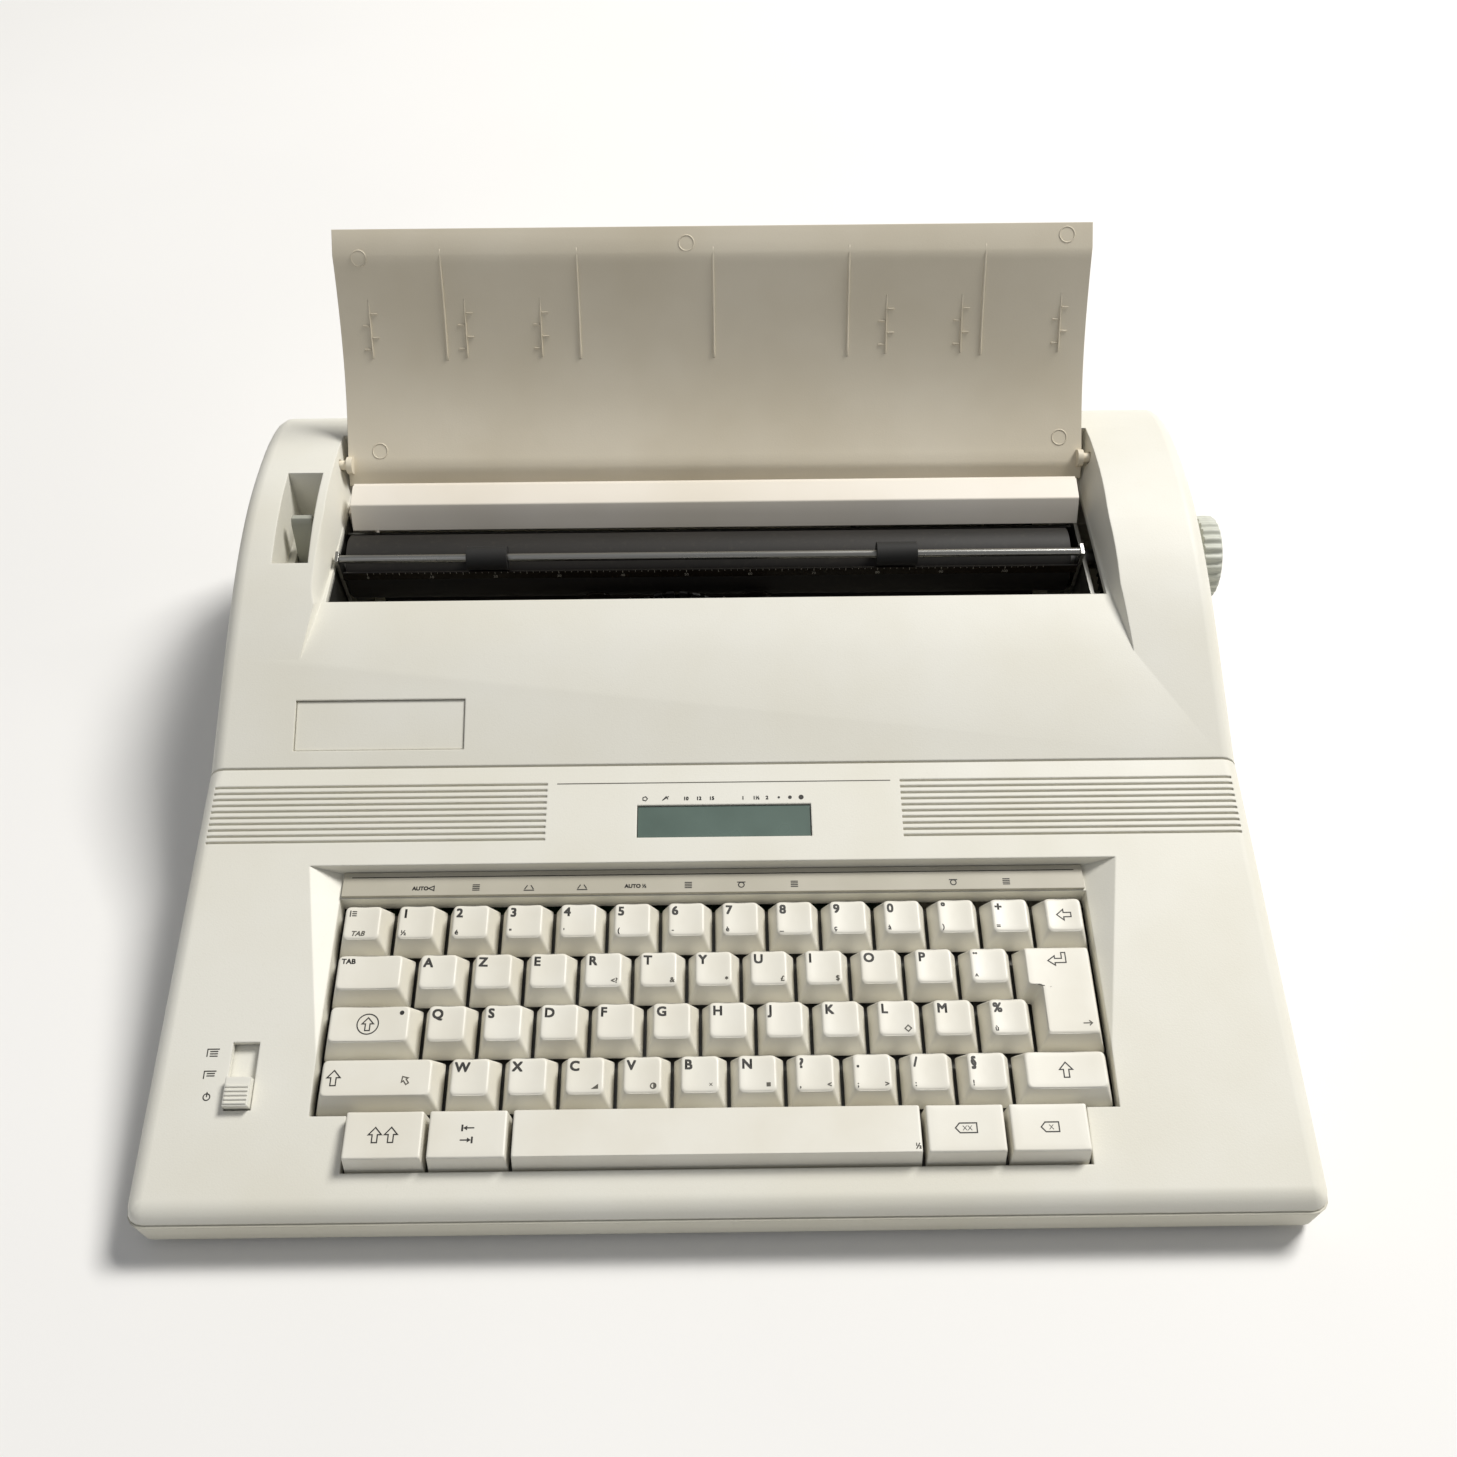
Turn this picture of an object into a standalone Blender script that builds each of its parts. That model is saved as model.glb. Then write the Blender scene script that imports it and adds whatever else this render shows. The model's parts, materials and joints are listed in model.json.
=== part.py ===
"""Portable electronic daisy-wheel typewriter, in metres, +Z up.

Each sub-part is one object in the collection "typewriter". Places are worked out in the machine's own
frame: X across (0 on the case's middle), Y from the front wall towards the back, Z up from the table.
The empty "machine" carries that frame to the origin, which is the middle of the whole object's footprint.
"""

import math

import bmesh
import bpy
from mathutils import Matrix, Vector

MM = 0.001

# ---- clearances and walls -------------------------------------------------------------------------
GAP = 0.3 * MM            # between pieces that touch
SEAM_GAP = 0.8 * MM       # the shadow line between the two upper covers
RUNNING = 0.4 * MM        # radial clearance of a shaft in its bore
WALL = 2.5 * MM           # moulded case wall
EDGE_ROUND = 6.0 * MM     # outer rounding of the case

# ---- keyboard -------------------------------------------------------------------------------------
KEY_PITCH = 19.05 * MM
KEY_TILT = math.radians(7.0)
CAP_GAP = 1.15 * MM       # between neighbouring cap skirts
CAP_HEIGHT = 9.5 * MM
CAP_SIDE_INSET = 2.75 * MM
CAP_BACK_INSET = 2.1 * MM
CAP_FRONT_INSET = 3.5 * MM
BAR_CAP_INSET = 0.6 * MM  # the front row's caps have nearly upright sides
KEY_TRAVEL = 3.5 * MM
STEM_SIDE = 4.0 * MM
STEM_LENGTH = 9.0 * MM
BLOCK_UNITS = 14          # width of the key block, in pitches
ROWS_BEHIND = 3           # rows behind the one that sets the key plane's origin
BLOCK_MIDDLE_X = -4.2 * MM
FRONT_ROW_START = 0.645   # in pitches from the key block's left edge
SMALL_BAR_UNITS = 1.43
SPACE_UNITS = 7.06
FRONT_MARGIN = 16.0 * MM  # from the front wall to the front row
WELL_CLEARANCE = 1.0 * MM
WELL_SLOPE = 1.65         # how far a well wall leans out for each unit of height
WELL_LEDGE = 3.2 * MM     # depth of the ledge under the key plane
STRIP_DEPTH = 9.4 * MM
STRIP_CLEARANCE = 3.0 * MM
STRIP_THICKNESS = 1.2 * MM

# ---- case -----------------------------------------------------------------------------------------
CASE_WIDTH = 389.0 * MM
SIDE_DRAFT = 0.075        # how far a side wall leans in for each unit of height
BASE_Z = 3.3 * MM
TRAY_PINCH = 1.2 * MM     # how much narrower the lower case is at its foot than at the parting line
TRAY_CHAMFER = 1.0 * MM
PARTING_Z = 16.0 * MM
FRONT_LIP_Z = 21.0 * MM
DECK_TILT = math.radians(12.4)
BAND_DEPTH = 38.0 * MM    # from the well's back edge to the seam
HOOD_DEPTH = 180.0 * MM
HOOD_TILT = math.radians(26.5)
HOOD_RAMP = 38.0 * MM
CREST_Z = 98.0 * MM
CREST_SETBACK = 118.0 * MM
PANEL_RUN = 25.0 * MM     # from the ramp's end to the paper opening
PANEL_RISE = 5.8 * MM
RECESS_X = -2.0 * MM
RECESS_HALF = 151.5 * MM
RECESS_FLARE = 6.9 * MM
RECESS_LEAN = 3.2 * MM
FOOT_RADIUS = 9.0 * MM
FOOT_INSET = 34.0 * MM

# ---- deck fittings --------------------------------------------------------------------------------
GRILLE_INNER_X = 65.0 * MM
GRILLE_MARGIN_X = 3.8 * MM
GRILLE_BACK = 6.5 * MM
GRILLE_DEPTH = 24.6 * MM
GRILLE_SLOTS = 10
GRILLE_SLOT_WIDTH = 0.9 * MM
GRILLE_SLOT_DEEP = 1.1 * MM
WINDOW_WIDTH = 63.0 * MM
WINDOW_DEPTH = 12.4 * MM
WINDOW_BACK = 16.6 * MM
WINDOW_THICK = 0.9 * MM
WINDOW_SINK = 0.7 * MM    # from the deck down to the window's face
WINDOW_LAP = 1.6 * MM
SWITCH_X = -162.0 * MM
SWITCH_WIDTH = 9.0 * MM
SWITCH_LENGTH = 23.0 * MM
SWITCH_FRONT = 34.5 * MM
SWITCH_TRAVEL = 12.0 * MM
BADGE_X = -128.6 * MM
BADGE_WIDTH = 63.0 * MM
BADGE_DEPTH = 19.0 * MM
BADGE_START = 7.0 * MM
BADGE_THICK = 0.6 * MM
BADGE_SINK = 0.8 * MM

# ---- platen and paper path ------------------------------------------------------------------------
PLATEN_RADIUS = 12.7 * MM
PLATEN_SETBACK = 96.5 * MM
PLATEN_Z = 68.0 * MM
PLATEN_LEFT = -150.0 * MM
PLATEN_RIGHT = 140.0 * MM
SHAFT_RADIUS = 4.0 * MM
KNOB_RADIUS = 17.0 * MM
KNOB_LENGTH = 7.8 * MM
KNOB_RIBS = 24
FRAME_LEFT = -153.4 * MM   # inner faces of the two side frames
FRAME_RIGHT = 144.4 * MM
FRAME_THICK = 1.6 * MM
FRAME_DROP = 1.3 * MM      # from the underside of the hood's panel
GEAR_MODULE = 1.0 * MM
GEAR_TEETH = 40
PINION_TEETH = 12
GEAR_X = 158.5 * MM
GEAR_WIDTH = 4.0 * MM
FEED_MOTOR_RADIUS = 12.0 * MM
PRESSURE_RADIUS = 6.0 * MM
PAN_THICK = 0.8 * MM
BAR_CLEARANCE = 1.8 * MM   # from the platen's face to the guide bar's lower edge
BAR_ANGLE = math.radians(49)
BAR_DEPTH = 16.0 * MM
BAR_SLANT = 4.0 * MM       # how far its front face leans back
BAR_HEIGHT = 10.0 * MM
BAR_LEFT = -149.5 * MM
BAR_RIGHT = 145.0 * MM
HINGE_SETBACK = 34.5 * MM  # from the platen's axis to the lid's hinge
HINGE_Z = 92.5 * MM
LID_HALF = 151.2 * MM
LID_LENGTH = 91.0 * MM
LID_TAIL = 8.0 * MM
LID_TAIL_SLANT = 4.0 * MM
LID_THICK = 3.2 * MM
LID_TIP_THICK = 5.0 * MM
LID_PROUD = 3.0 * MM
LID_WEDGE = 10.0 * MM
LID_OPEN = math.radians(135.0)
LID_SWING_ROOM = 15.0 * MM
HINGE_PIN_RADIUS = 2.0 * MM
ROD_RADIUS = 1.6 * MM
ROD_ANGLE = math.radians(128.2)  # round the platen, from straight back
BAIL_PIVOT_Y = -4.0 * MM
BAIL_PIVOT_Z = -26.0 * MM
BAIL_ROLLER_RADIUS = 4.7 * MM
BAIL_ROLLER_LENGTH = 16.0 * MM
BAIL_ROLLER_X = {"left": -92.5 * MM, "right": 69.5 * MM}
ARM_THICK = 1.4 * MM
ARM_WIDTH = 5.0 * MM
LEVER_X = -166.2 * MM
LEVER_WIDTH = 8.0 * MM
LEVER_THICK = 5.0 * MM
LEVER_REACH = 33.0 * MM
LEVER_LEAN = math.radians(10.0)
LEVER_SWING = math.radians(25.0)
LEVER_PIVOT_Y = -3.0 * MM
LEVER_PIVOT_Z = -8.0 * MM
POCKET_LEFT = -174.0 * MM
POCKET_RIGHT = -160.0 * MM
POCKET_FRONT = -22.0 * MM  # from the platen's axis
POCKET_BACK = 23.0 * MM
POCKET_FLOOR = 76.0 * MM

# ---- print carriage -------------------------------------------------------------------------------
CARRIAGE_X = -18.0 * MM
CARRIAGE_HALF = 36.0 * MM
RAIL_RADIUS = 4.0 * MM
RAIL_FRONT = (36.0 * MM, 34.0 * MM)   # from the seam, and above the table
RAIL_REAR = (68.0 * MM, 20.0 * MM)
WHEEL_RADIUS = 27.0 * MM
WHEEL_PETALS = 32
WHEEL_CLEARANCE = 3.8 * MM  # from the wheel's front face to the platen
WHEEL_Z = 40.0 * MM
WHEEL_THICK = 1.0 * MM
WHEEL_MOTOR_RADIUS = 11.5 * MM
CHEEK_TOP = 60.0 * MM
CASSETTE_HEIGHT = 8.0 * MM
BELT_Y = 14.0 * MM
BELT_Z = 39.0 * MM
BELT_HEIGHT = 5.0 * MM
BELT_THICK = 1.0 * MM
PULLEY_RADIUS = 6.0 * MM
PULLEY_LEFT = -138.0 * MM
PULLEY_RIGHT = 134.0 * MM

# ---- inlet ----------------------------------------------------------------------------------------
INLET_X = 132.0 * MM
INLET_Z = 34.0 * MM
INLET_WIDTH = 22.0 * MM
INLET_HEIGHT = 13.0 * MM
INLET_DEPTH = 16.0 * MM
INLET_PIN_SPACING = 8.6 * MM

# ---- places that follow from the sizes above ------------------------------------------------------
CASE_HALF = CASE_WIDTH / 2
BLOCK_X = BLOCK_MIDDLE_X - BLOCK_UNITS * KEY_PITCH / 2
BLOCK_RIGHT = BLOCK_X + BLOCK_UNITS * KEY_PITCH
FRONT_ROW_V = -KEY_PITCH + CAP_GAP
FRONT_ROW_DEPTH = KEY_PITCH - CAP_GAP - 0.5 * MM
KEYS_Y = FRONT_MARGIN - FRONT_ROW_V + FRONT_ROW_DEPTH - 2.4 * MM
KEYS_Z = 35.0 * MM
KEY_BACK_V = ROWS_BEHIND * KEY_PITCH + CAP_BACK_INSET
WELL_BACK_V = KEY_BACK_V + STRIP_CLEARANCE - GAP
STRIP_BACK_V = WELL_BACK_V + STRIP_DEPTH + 2 * GAP
SEAM_Y = KEYS_Y + STRIP_BACK_V * math.cos(KEY_TILT) + BAND_DEPTH
REAR_Y = SEAM_Y + HOOD_DEPTH
TIP_Y = SEAM_Y + HOOD_RAMP
PANEL_Y = TIP_Y + PANEL_RUN
CREST_Y = SEAM_Y + CREST_SETBACK
PLATEN_Y = SEAM_Y + PLATEN_SETBACK
HINGE_Y = PLATEN_Y + HINGE_SETBACK
OPENING_BACK_Y = HINGE_Y + LID_SWING_ROOM
ROD_REACH = PLATEN_RADIUS + BAIL_ROLLER_RADIUS + RUNNING
ROD_Y = PLATEN_Y + ROD_REACH * math.cos(ROD_ANGLE)
ROD_Z = PLATEN_Z + ROD_REACH * math.sin(ROD_ANGLE)
BAR_FRONT_Y = PLATEN_Y + (PLATEN_RADIUS + BAR_CLEARANCE) * math.cos(BAR_ANGLE)
BAR_BOTTOM = PLATEN_Z + (PLATEN_RADIUS + BAR_CLEARANCE) * math.sin(BAR_ANGLE)
WHEEL_Y = PLATEN_Y - PLATEN_RADIUS - WHEEL_CLEARANCE
FLOOR_Z = BASE_Z + WALL + GAP
GEAR_RADIUS = GEAR_MODULE * GEAR_TEETH / 2
PINION_RADIUS = GEAR_MODULE * PINION_TEETH / 2
FRAME_LEFT_OUTER = FRAME_LEFT - FRAME_THICK
FRAME_RIGHT_OUTER = FRAME_RIGHT + FRAME_THICK


def deck_z(y):
    """Height of the sloping deck."""
    return FRONT_LIP_Z + (y - 1.0 * MM) * math.tan(DECK_TILT)


SEAM_Z = deck_z(SEAM_Y)
TIP_Z = SEAM_Z + HOOD_RAMP * math.tan(HOOD_TILT)
PANEL_Z = TIP_Z + PANEL_RISE
FRAME_TOP = PANEL_Z - WALL - FRAME_DROP


def side_x(z):
    """Half the case's width at a height."""
    return CASE_HALF - SIDE_DRAFT * (z - PARTING_Z)


def bezier(p0, p1, p2, p3, count):
    """Points along a cubic curve, both ends included."""
    points = []
    for i in range(count + 1):
        t = i / count
        weights = ((1 - t) ** 3, 3 * t * (1 - t) ** 2, 3 * t * t * (1 - t), t ** 3)
        y = sum(w * p[0] for w, p in zip(weights, (p0, p1, p2, p3)))
        z = sum(w * p[1] for w, p in zip(weights, (p0, p1, p2, p3)))
        points.append((y, z))
    return points


def shoulder_curve(count=12):
    """The hood's outline from the end of the ramp up to the crest."""
    start = (TIP_Y, TIP_Z)
    reach = 32 * MM
    lead = (TIP_Y + reach * math.cos(HOOD_TILT), TIP_Z + reach * math.sin(HOOD_TILT))
    return bezier(start, lead, (CREST_Y - 28 * MM, CREST_Z), (CREST_Y, CREST_Z), count)


def rear_curve(count=10):
    """The hood's outline from the crest round to the rear wall."""
    start = (CREST_Y, CREST_Z)
    end = (REAR_Y, CREST_Z - 32 * MM)
    return bezier(start, (CREST_Y + 34 * MM, CREST_Z), (REAR_Y, CREST_Z - 6 * MM), end, count)


def shoulder_z(y):
    """Height of the hood's shoulder above a place between the ramp and the rear wall."""
    points = shoulder_curve(48) + rear_curve(48)[1:]
    for (y0, z0), (y1, z1) in zip(points, points[1:]):
        if y0 <= y <= y1 and y1 > y0:
            return z0 + (z1 - z0) * (y - y0) / (y1 - y0)
    return CREST_Z


def case_outline():
    """Side view of the upper case, from the front wall round over the hood, past the parting line."""
    below = PARTING_Z - 10 * MM
    outline = [(0.0, below), (1.0 * MM, FRONT_LIP_Z), (SEAM_Y, SEAM_Z)]
    outline += shoulder_curve()
    outline += rear_curve()[1:]
    outline.append((REAR_Y, below))
    return outline


def inset_outline(points, distance):
    """An outline moved inwards by a distance, each corner where its two moved edges meet."""
    moved = []
    count = len(points)
    for i, here in enumerate(points):
        before = Vector(points[i - 1])
        here = Vector(here)
        after = Vector(points[(i + 1) % count])
        first = (here - before).normalized()
        second = (after - here).normalized()
        # The outline runs clockwise, so its inside is on the right.
        right_first = Vector((first.y, -first.x))
        right_second = Vector((second.y, -second.x))
        middle = (right_first + right_second).normalized()
        moved.append(tuple(here + middle * distance / middle.dot(right_first)))
    return moved


# ---- building tools -------------------------------------------------------------------------------
for old in list(bpy.data.objects):
    bpy.data.objects.remove(old)

scene_root = bpy.context.scene.collection
PARTS = bpy.data.collections.new("typewriter")
CUTTERS = bpy.data.collections.new("cutters")
scene_root.children.link(PARTS)
scene_root.children.link(CUTTERS)


def add_empty(name, location, rotation_x=0.0, parent=None):
    """A frame that pieces are placed in."""
    empty = bpy.data.objects.new(name, None)
    PARTS.objects.link(empty)
    empty.parent = parent
    empty.location = location
    empty.rotation_euler.x = rotation_x
    return empty


def lid_tip():
    """The open lid's free end, in the machine's frame."""
    drop = LID_PROUD + shoulder_z(HINGE_Y - LID_LENGTH) - HINGE_Z
    closed = Vector((0.0, -LID_LENGTH, drop))
    return Matrix.Rotation(-LID_OPEN, 3, "X") @ closed + Vector((0.0, HINGE_Y, HINGE_Z))


knob_inner_x = side_x(PLATEN_Z - KNOB_RADIUS) + GAP
overall_right = knob_inner_x + KNOB_LENGTH
overall_back = max(REAR_Y, lid_tip().y)
MACHINE = add_empty("machine", ((CASE_HALF - overall_right) / 2, -overall_back / 2, 0.0))
KEY_PLANE = add_empty("key_plane", (0.0, KEYS_Y, KEYS_Z), KEY_TILT, MACHINE)
DECK_PLANE = add_empty("deck_plane", (0.0, SEAM_Y, SEAM_Z), DECK_TILT, MACHINE)
RAMP_PLANE = add_empty("ramp_plane", (0.0, SEAM_Y, SEAM_Z), HOOD_TILT, MACHINE)

MATERIALS = {}


def add_material(name, colour, roughness, metallic=0.0):
    """A Principled material, kept by name. The colour is linear."""
    material = bpy.data.materials.new(name)
    material.use_nodes = True
    shader = material.node_tree.nodes["Principled BSDF"]
    shader.inputs["Base Color"].default_value = (*colour, 1.0)
    shader.inputs["Roughness"].default_value = roughness
    shader.inputs["Metallic"].default_value = metallic
    MATERIALS[name] = material


add_material("case_plastic", (0.74, 0.73, 0.67), 0.5)
add_material("base_plastic", (0.72, 0.71, 0.65), 0.55)
add_material("key_plastic", (0.78, 0.76, 0.70), 0.45)
add_material("strip_plastic", (0.42, 0.40, 0.33), 0.5)
add_material("lid_plastic", (0.50, 0.44, 0.36), 0.5)
add_material("bar_plastic", (0.72, 0.67, 0.58), 0.45)
add_material("grey_plastic", (0.40, 0.42, 0.38), 0.5)
add_material("black_plastic", (0.02, 0.02, 0.02), 0.45)
add_material("platen_rubber", (0.012, 0.011, 0.010), 0.6)
add_material("dark_rubber", (0.02, 0.02, 0.02), 0.75)
add_material("display_glass", (0.14, 0.20, 0.17), 0.15)
add_material("steel", (0.55, 0.55, 0.55), 0.35, 1.0)
add_material("motor_steel", (0.35, 0.35, 0.36), 0.45, 1.0)
add_material("board_green", (0.03, 0.16, 0.07), 0.5)
add_material("smoked_plastic", (0.05, 0.045, 0.04), 0.25)


def link_object(name, mesh, collection, parent):
    obj = bpy.data.objects.new(name, mesh)
    collection.objects.link(obj)
    obj.parent = parent
    return obj


def finish_part(obj, material, smooth=False):
    """Gives a part its material, and smooth shading where it is round."""
    obj.data.materials.clear()
    obj.data.materials.append(MATERIALS[material])
    if smooth:
        obj.data.shade_smooth()
        obj.data.set_sharp_from_angle(angle=math.radians(35))
    return obj


def as_cutter(obj):
    """Turns an object into a helper that only shapes others."""
    for collection in list(obj.users_collection):
        collection.objects.unlink(obj)
    CUTTERS.objects.link(obj)
    obj.hide_render = True
    obj.display_type = "WIRE"
    return obj


def box(name, low, high, parent=MACHINE):
    """A block between two corners, with its origin in its middle."""
    low = Vector(low)
    high = Vector(high)
    form = bmesh.new()
    bmesh.ops.create_cube(form, size=1.0)
    bmesh.ops.scale(form, vec=high - low, verts=form.verts)
    mesh = bpy.data.meshes.new(name)
    form.to_mesh(mesh)
    form.free()
    obj = link_object(name, mesh, PARTS, parent)
    obj.location = (low + high) / 2
    return obj


def rod(name, radius, start, end, segments=24, parent=MACHINE):
    """A round bar between two points."""
    start = Vector(start)
    end = Vector(end)
    form = bmesh.new()
    bmesh.ops.create_cone(
        form,
        cap_ends=True,
        segments=segments,
        radius1=radius,
        radius2=radius,
        depth=(end - start).length,
    )
    turn = (end - start).to_track_quat("Z", "Y").to_matrix().to_4x4()
    bmesh.ops.transform(form, matrix=turn, verts=form.verts)
    mesh = bpy.data.meshes.new(name)
    form.to_mesh(mesh)
    form.free()
    obj = link_object(name, mesh, PARTS, parent)
    obj.location = (start + end) / 2
    return obj


def loft(name, sections, parent=MACHINE, origin=(0.0, 0.0, 0.0)):
    """A closed solid through sections that have the same number of points, given in the parent's frame."""
    origin = Vector(origin)
    form = bmesh.new()
    rings = [[form.verts.new(Vector(p) - origin) for p in section] for section in sections]
    count = len(rings[0])
    for lower, upper in zip(rings, rings[1:]):
        for i in range(count):
            j = (i + 1) % count
            form.faces.new((lower[i], lower[j], upper[j], upper[i]))
    form.faces.new(rings[0][::-1])
    form.faces.new(rings[-1])
    bmesh.ops.recalc_face_normals(form, faces=form.faces)
    mesh = bpy.data.meshes.new(name)
    form.to_mesh(mesh)
    form.free()
    obj = link_object(name, mesh, PARTS, parent)
    obj.location = origin
    return obj


def plate(name, outlines, start, end, axis="X", parent=MACHINE, origin=(0.0, 0.0, 0.0)):
    """A flat outline, with any holes in it, made thick along an axis from start to end.

    The outlines hold (Y, Z) points for X, (X, Z) for Y and (X, Y) for Z, in the parent's frame.
    """
    curve = bpy.data.curves.new(name, "CURVE")
    curve.dimensions = "2D"
    curve.fill_mode = "BOTH"
    curve.extrude = (end - start) / 2
    for outline in outlines:
        spline = curve.splines.new("POLY")
        spline.points.add(len(outline) - 1)
        for point, (a, b) in zip(spline.points, outline):
            point.co = (a, b, 0.0, 1.0)
        spline.use_cyclic_u = True
    flat = link_object(name + "_flat", curve, CUTTERS, None)
    bpy.context.view_layer.update()
    evaluated = flat.evaluated_get(bpy.context.evaluated_depsgraph_get())
    mesh = bpy.data.meshes.new_from_object(evaluated)
    bpy.data.objects.remove(flat)
    form = bmesh.new()
    form.from_mesh(mesh)
    bmesh.ops.remove_doubles(form, verts=form.verts, dist=1e-6)
    middle = (start + end) / 2
    columns = {
        "X": ((0, 1, 0), (0, 0, 1), (1, 0, 0)),
        "Y": ((1, 0, 0), (0, 0, 1), (0, -1, 0)),
        "Z": ((1, 0, 0), (0, 1, 0), (0, 0, 1)),
    }
    turn = Matrix(columns[axis]).transposed().to_4x4()
    shift = {"X": Vector((middle, 0, 0)), "Y": Vector((0, middle, 0)), "Z": Vector((0, 0, middle))}[axis]
    bmesh.ops.transform(form, matrix=Matrix.Translation(shift - Vector(origin)) @ turn, verts=form.verts)
    bmesh.ops.recalc_face_normals(form, faces=form.faces)
    form.to_mesh(mesh)
    form.free()
    mesh.name = name
    obj = link_object(name, mesh, PARTS, parent)
    obj.location = origin
    return obj


def turned(name, profile, location, steps=24, axis="Z", closed=False, parent=MACHINE):
    """A profile of (radius, height) points, top to bottom, spun about its own axis at a location."""
    mesh = bpy.data.meshes.new(name)
    edges = [(i, i + 1) for i in range(len(profile) - 1)]
    if closed:
        edges.append((len(profile) - 1, 0))
    mesh.from_pydata([(r, 0.0, h) for r, h in profile], edges, [])
    obj = link_object(name, mesh, PARTS, parent)
    obj.location = location
    obj.rotation_euler.y = math.pi / 2 if axis == "X" else 0.0
    screw = obj.modifiers.new("turn", "SCREW")
    screw.axis = "Z"
    screw.steps = steps
    screw.render_steps = steps
    screw.use_merge_vertices = True
    screw.merge_threshold = 1e-5
    return obj


def round_edges(obj, width, segments):
    """Rounds every edge that turns by more than 30 degrees."""
    bevel = obj.modifiers.new("rounding", "BEVEL")
    bevel.width = width
    bevel.segments = segments
    bevel.limit_method = "ANGLE"
    bevel.angle_limit = math.radians(30.0)
    return obj


def combine(obj, others, operation):
    """Cuts, keeps or joins with other objects, which become helpers."""
    group = bpy.data.collections.new(f"{obj.name}_{operation.lower()}")
    CUTTERS.children.link(group)
    for other in others:
        as_cutter(other)
        group.objects.link(other)
    change = obj.modifiers.new(operation.lower(), "BOOLEAN")
    change.operation = operation
    change.solver = "EXACT"
    if len(others) == 1:
        change.object = others[0]
    else:
        change.operand_type = "COLLECTION"
        change.collection = group
    return obj


def cut(obj, *others):
    return combine(obj, others, "DIFFERENCE")


def join(obj, *others):
    return combine(obj, others, "UNION")


def keep(obj, other):
    return combine(obj, (other,), "INTERSECT")


def circle(centre, radius, count, start=0.0):
    """Points round a circle."""
    step = 2 * math.pi / count
    return [
        (centre[0] + radius * math.cos(start + i * step), centre[1] + radius * math.sin(start + i * step))
        for i in range(count)
    ]


# ---- case -----------------------------------------------------------------------------------------
def case_block(name, inset):
    """The solid inside the upper case's outer surface, or that surface moved inwards."""
    outline = inset_outline(case_outline(), inset) if inset else case_outline()
    left = [(-side_x(z) + inset, y, z) for y, z in outline]
    right = [(side_x(z) - inset, y, z) for y, z in outline]
    block = loft(name, (left, right))
    return round_edges(block, EDGE_ROUND - inset, 4)


def well_ring(low_x, high_x, front, back, h):
    """One level section of the key well, in the key plane."""
    return [(low_x, front, h), (high_x, front, h), (high_x, back, h), (low_x, back, h)]


def well_funnel():
    """The key well above its ledge, where its side walls lean out."""
    low_x = BLOCK_X + CAP_GAP / 2 - WELL_CLEARANCE
    high_x = BLOCK_RIGHT - CAP_GAP / 2 + WELL_CLEARANCE
    front = FRONT_ROW_V + WELL_CLEARANCE / 2
    above = 9.0 * MM
    lean = WELL_SLOPE * (above + WELL_LEDGE)
    sections = (
        well_ring(low_x, high_x, front, STRIP_BACK_V, -WELL_LEDGE),
        well_ring(low_x - lean, high_x + lean, front, STRIP_BACK_V, above),
    )
    return loft("well_funnel", sections, KEY_PLANE)


def well_holes():
    """The upright holes that the keys stand in: the main block, and the narrower front row."""
    low_x = BLOCK_X + CAP_GAP / 2 - WELL_CLEARANCE
    high_x = BLOCK_RIGHT - CAP_GAP / 2 + WELL_CLEARANCE
    front = FRONT_ROW_V + CAP_GAP / 2
    row_low, row_high = front_row_span()
    deep = -20.0 * MM
    high = 12.0 * MM
    main = box("well_hole", (low_x, front, deep), (high_x, WELL_BACK_V, high), KEY_PLANE)
    row = box(
        "well_front_hole",
        (row_low - WELL_CLEARANCE, FRONT_ROW_V - FRONT_ROW_DEPTH - WELL_CLEARANCE / 2, deep),
        (row_high + WELL_CLEARANCE, front + WELL_CLEARANCE, high),
        KEY_PLANE,
    )
    return join(main, row)


def well_surround():
    """The material round the key well, which stays when the cover is hollowed."""
    low_x = BLOCK_X - WELL_CLEARANCE - WALL
    high_x = BLOCK_RIGHT + WELL_CLEARANCE + WALL
    front = FRONT_ROW_V - FRONT_ROW_DEPTH - WELL_CLEARANCE - WALL
    back = STRIP_BACK_V + WALL
    deep = -11.0 * MM
    above = 10.0 * MM
    lean = WELL_SLOPE * (above + WELL_LEDGE)
    sections = (
        well_ring(low_x, high_x, front, back, deep),
        well_ring(low_x, high_x, front, back, -WELL_LEDGE - WALL),
        well_ring(low_x - lean, high_x + lean, front, back, above),
    )
    return loft("well_surround", sections, KEY_PLANE)


def window_span():
    """The display window's (low, high) corners in the deck's plane."""
    back = -WINDOW_BACK / math.cos(DECK_TILT)
    return (-WINDOW_WIDTH / 2, back - WINDOW_DEPTH), (WINDOW_WIDTH / 2, back)


def switch_span():
    """The slider slot's (low, high) corners in the deck's plane."""
    front = (SWITCH_FRONT - SEAM_Y) / math.cos(DECK_TILT)
    return (SWITCH_X - SWITCH_WIDTH / 2, front), (SWITCH_X + SWITCH_WIDTH / 2, front + SWITCH_LENGTH)


def grille_slots():
    """The grooves of both grilles, cut into the deck."""
    slots = []
    pitch = GRILLE_DEPTH / GRILLE_SLOTS
    outer = side_x(SEAM_Z) - GRILLE_MARGIN_X
    for side in (-1, 1):
        low, high = sorted((side * GRILLE_INNER_X, side * outer))
        for i in range(GRILLE_SLOTS):
            s = -GRILLE_BACK - (i + 0.5) * pitch
            slots.append(
                box(
                    f"grille_slot_{'left' if side < 0 else 'right'}_{i}",
                    (low, s - GRILLE_SLOT_WIDTH / 2, -GRILLE_SLOT_DEEP),
                    (high, s + GRILLE_SLOT_WIDTH / 2, 2 * MM),
                    DECK_PLANE,
                )
            )
    return slots


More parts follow.
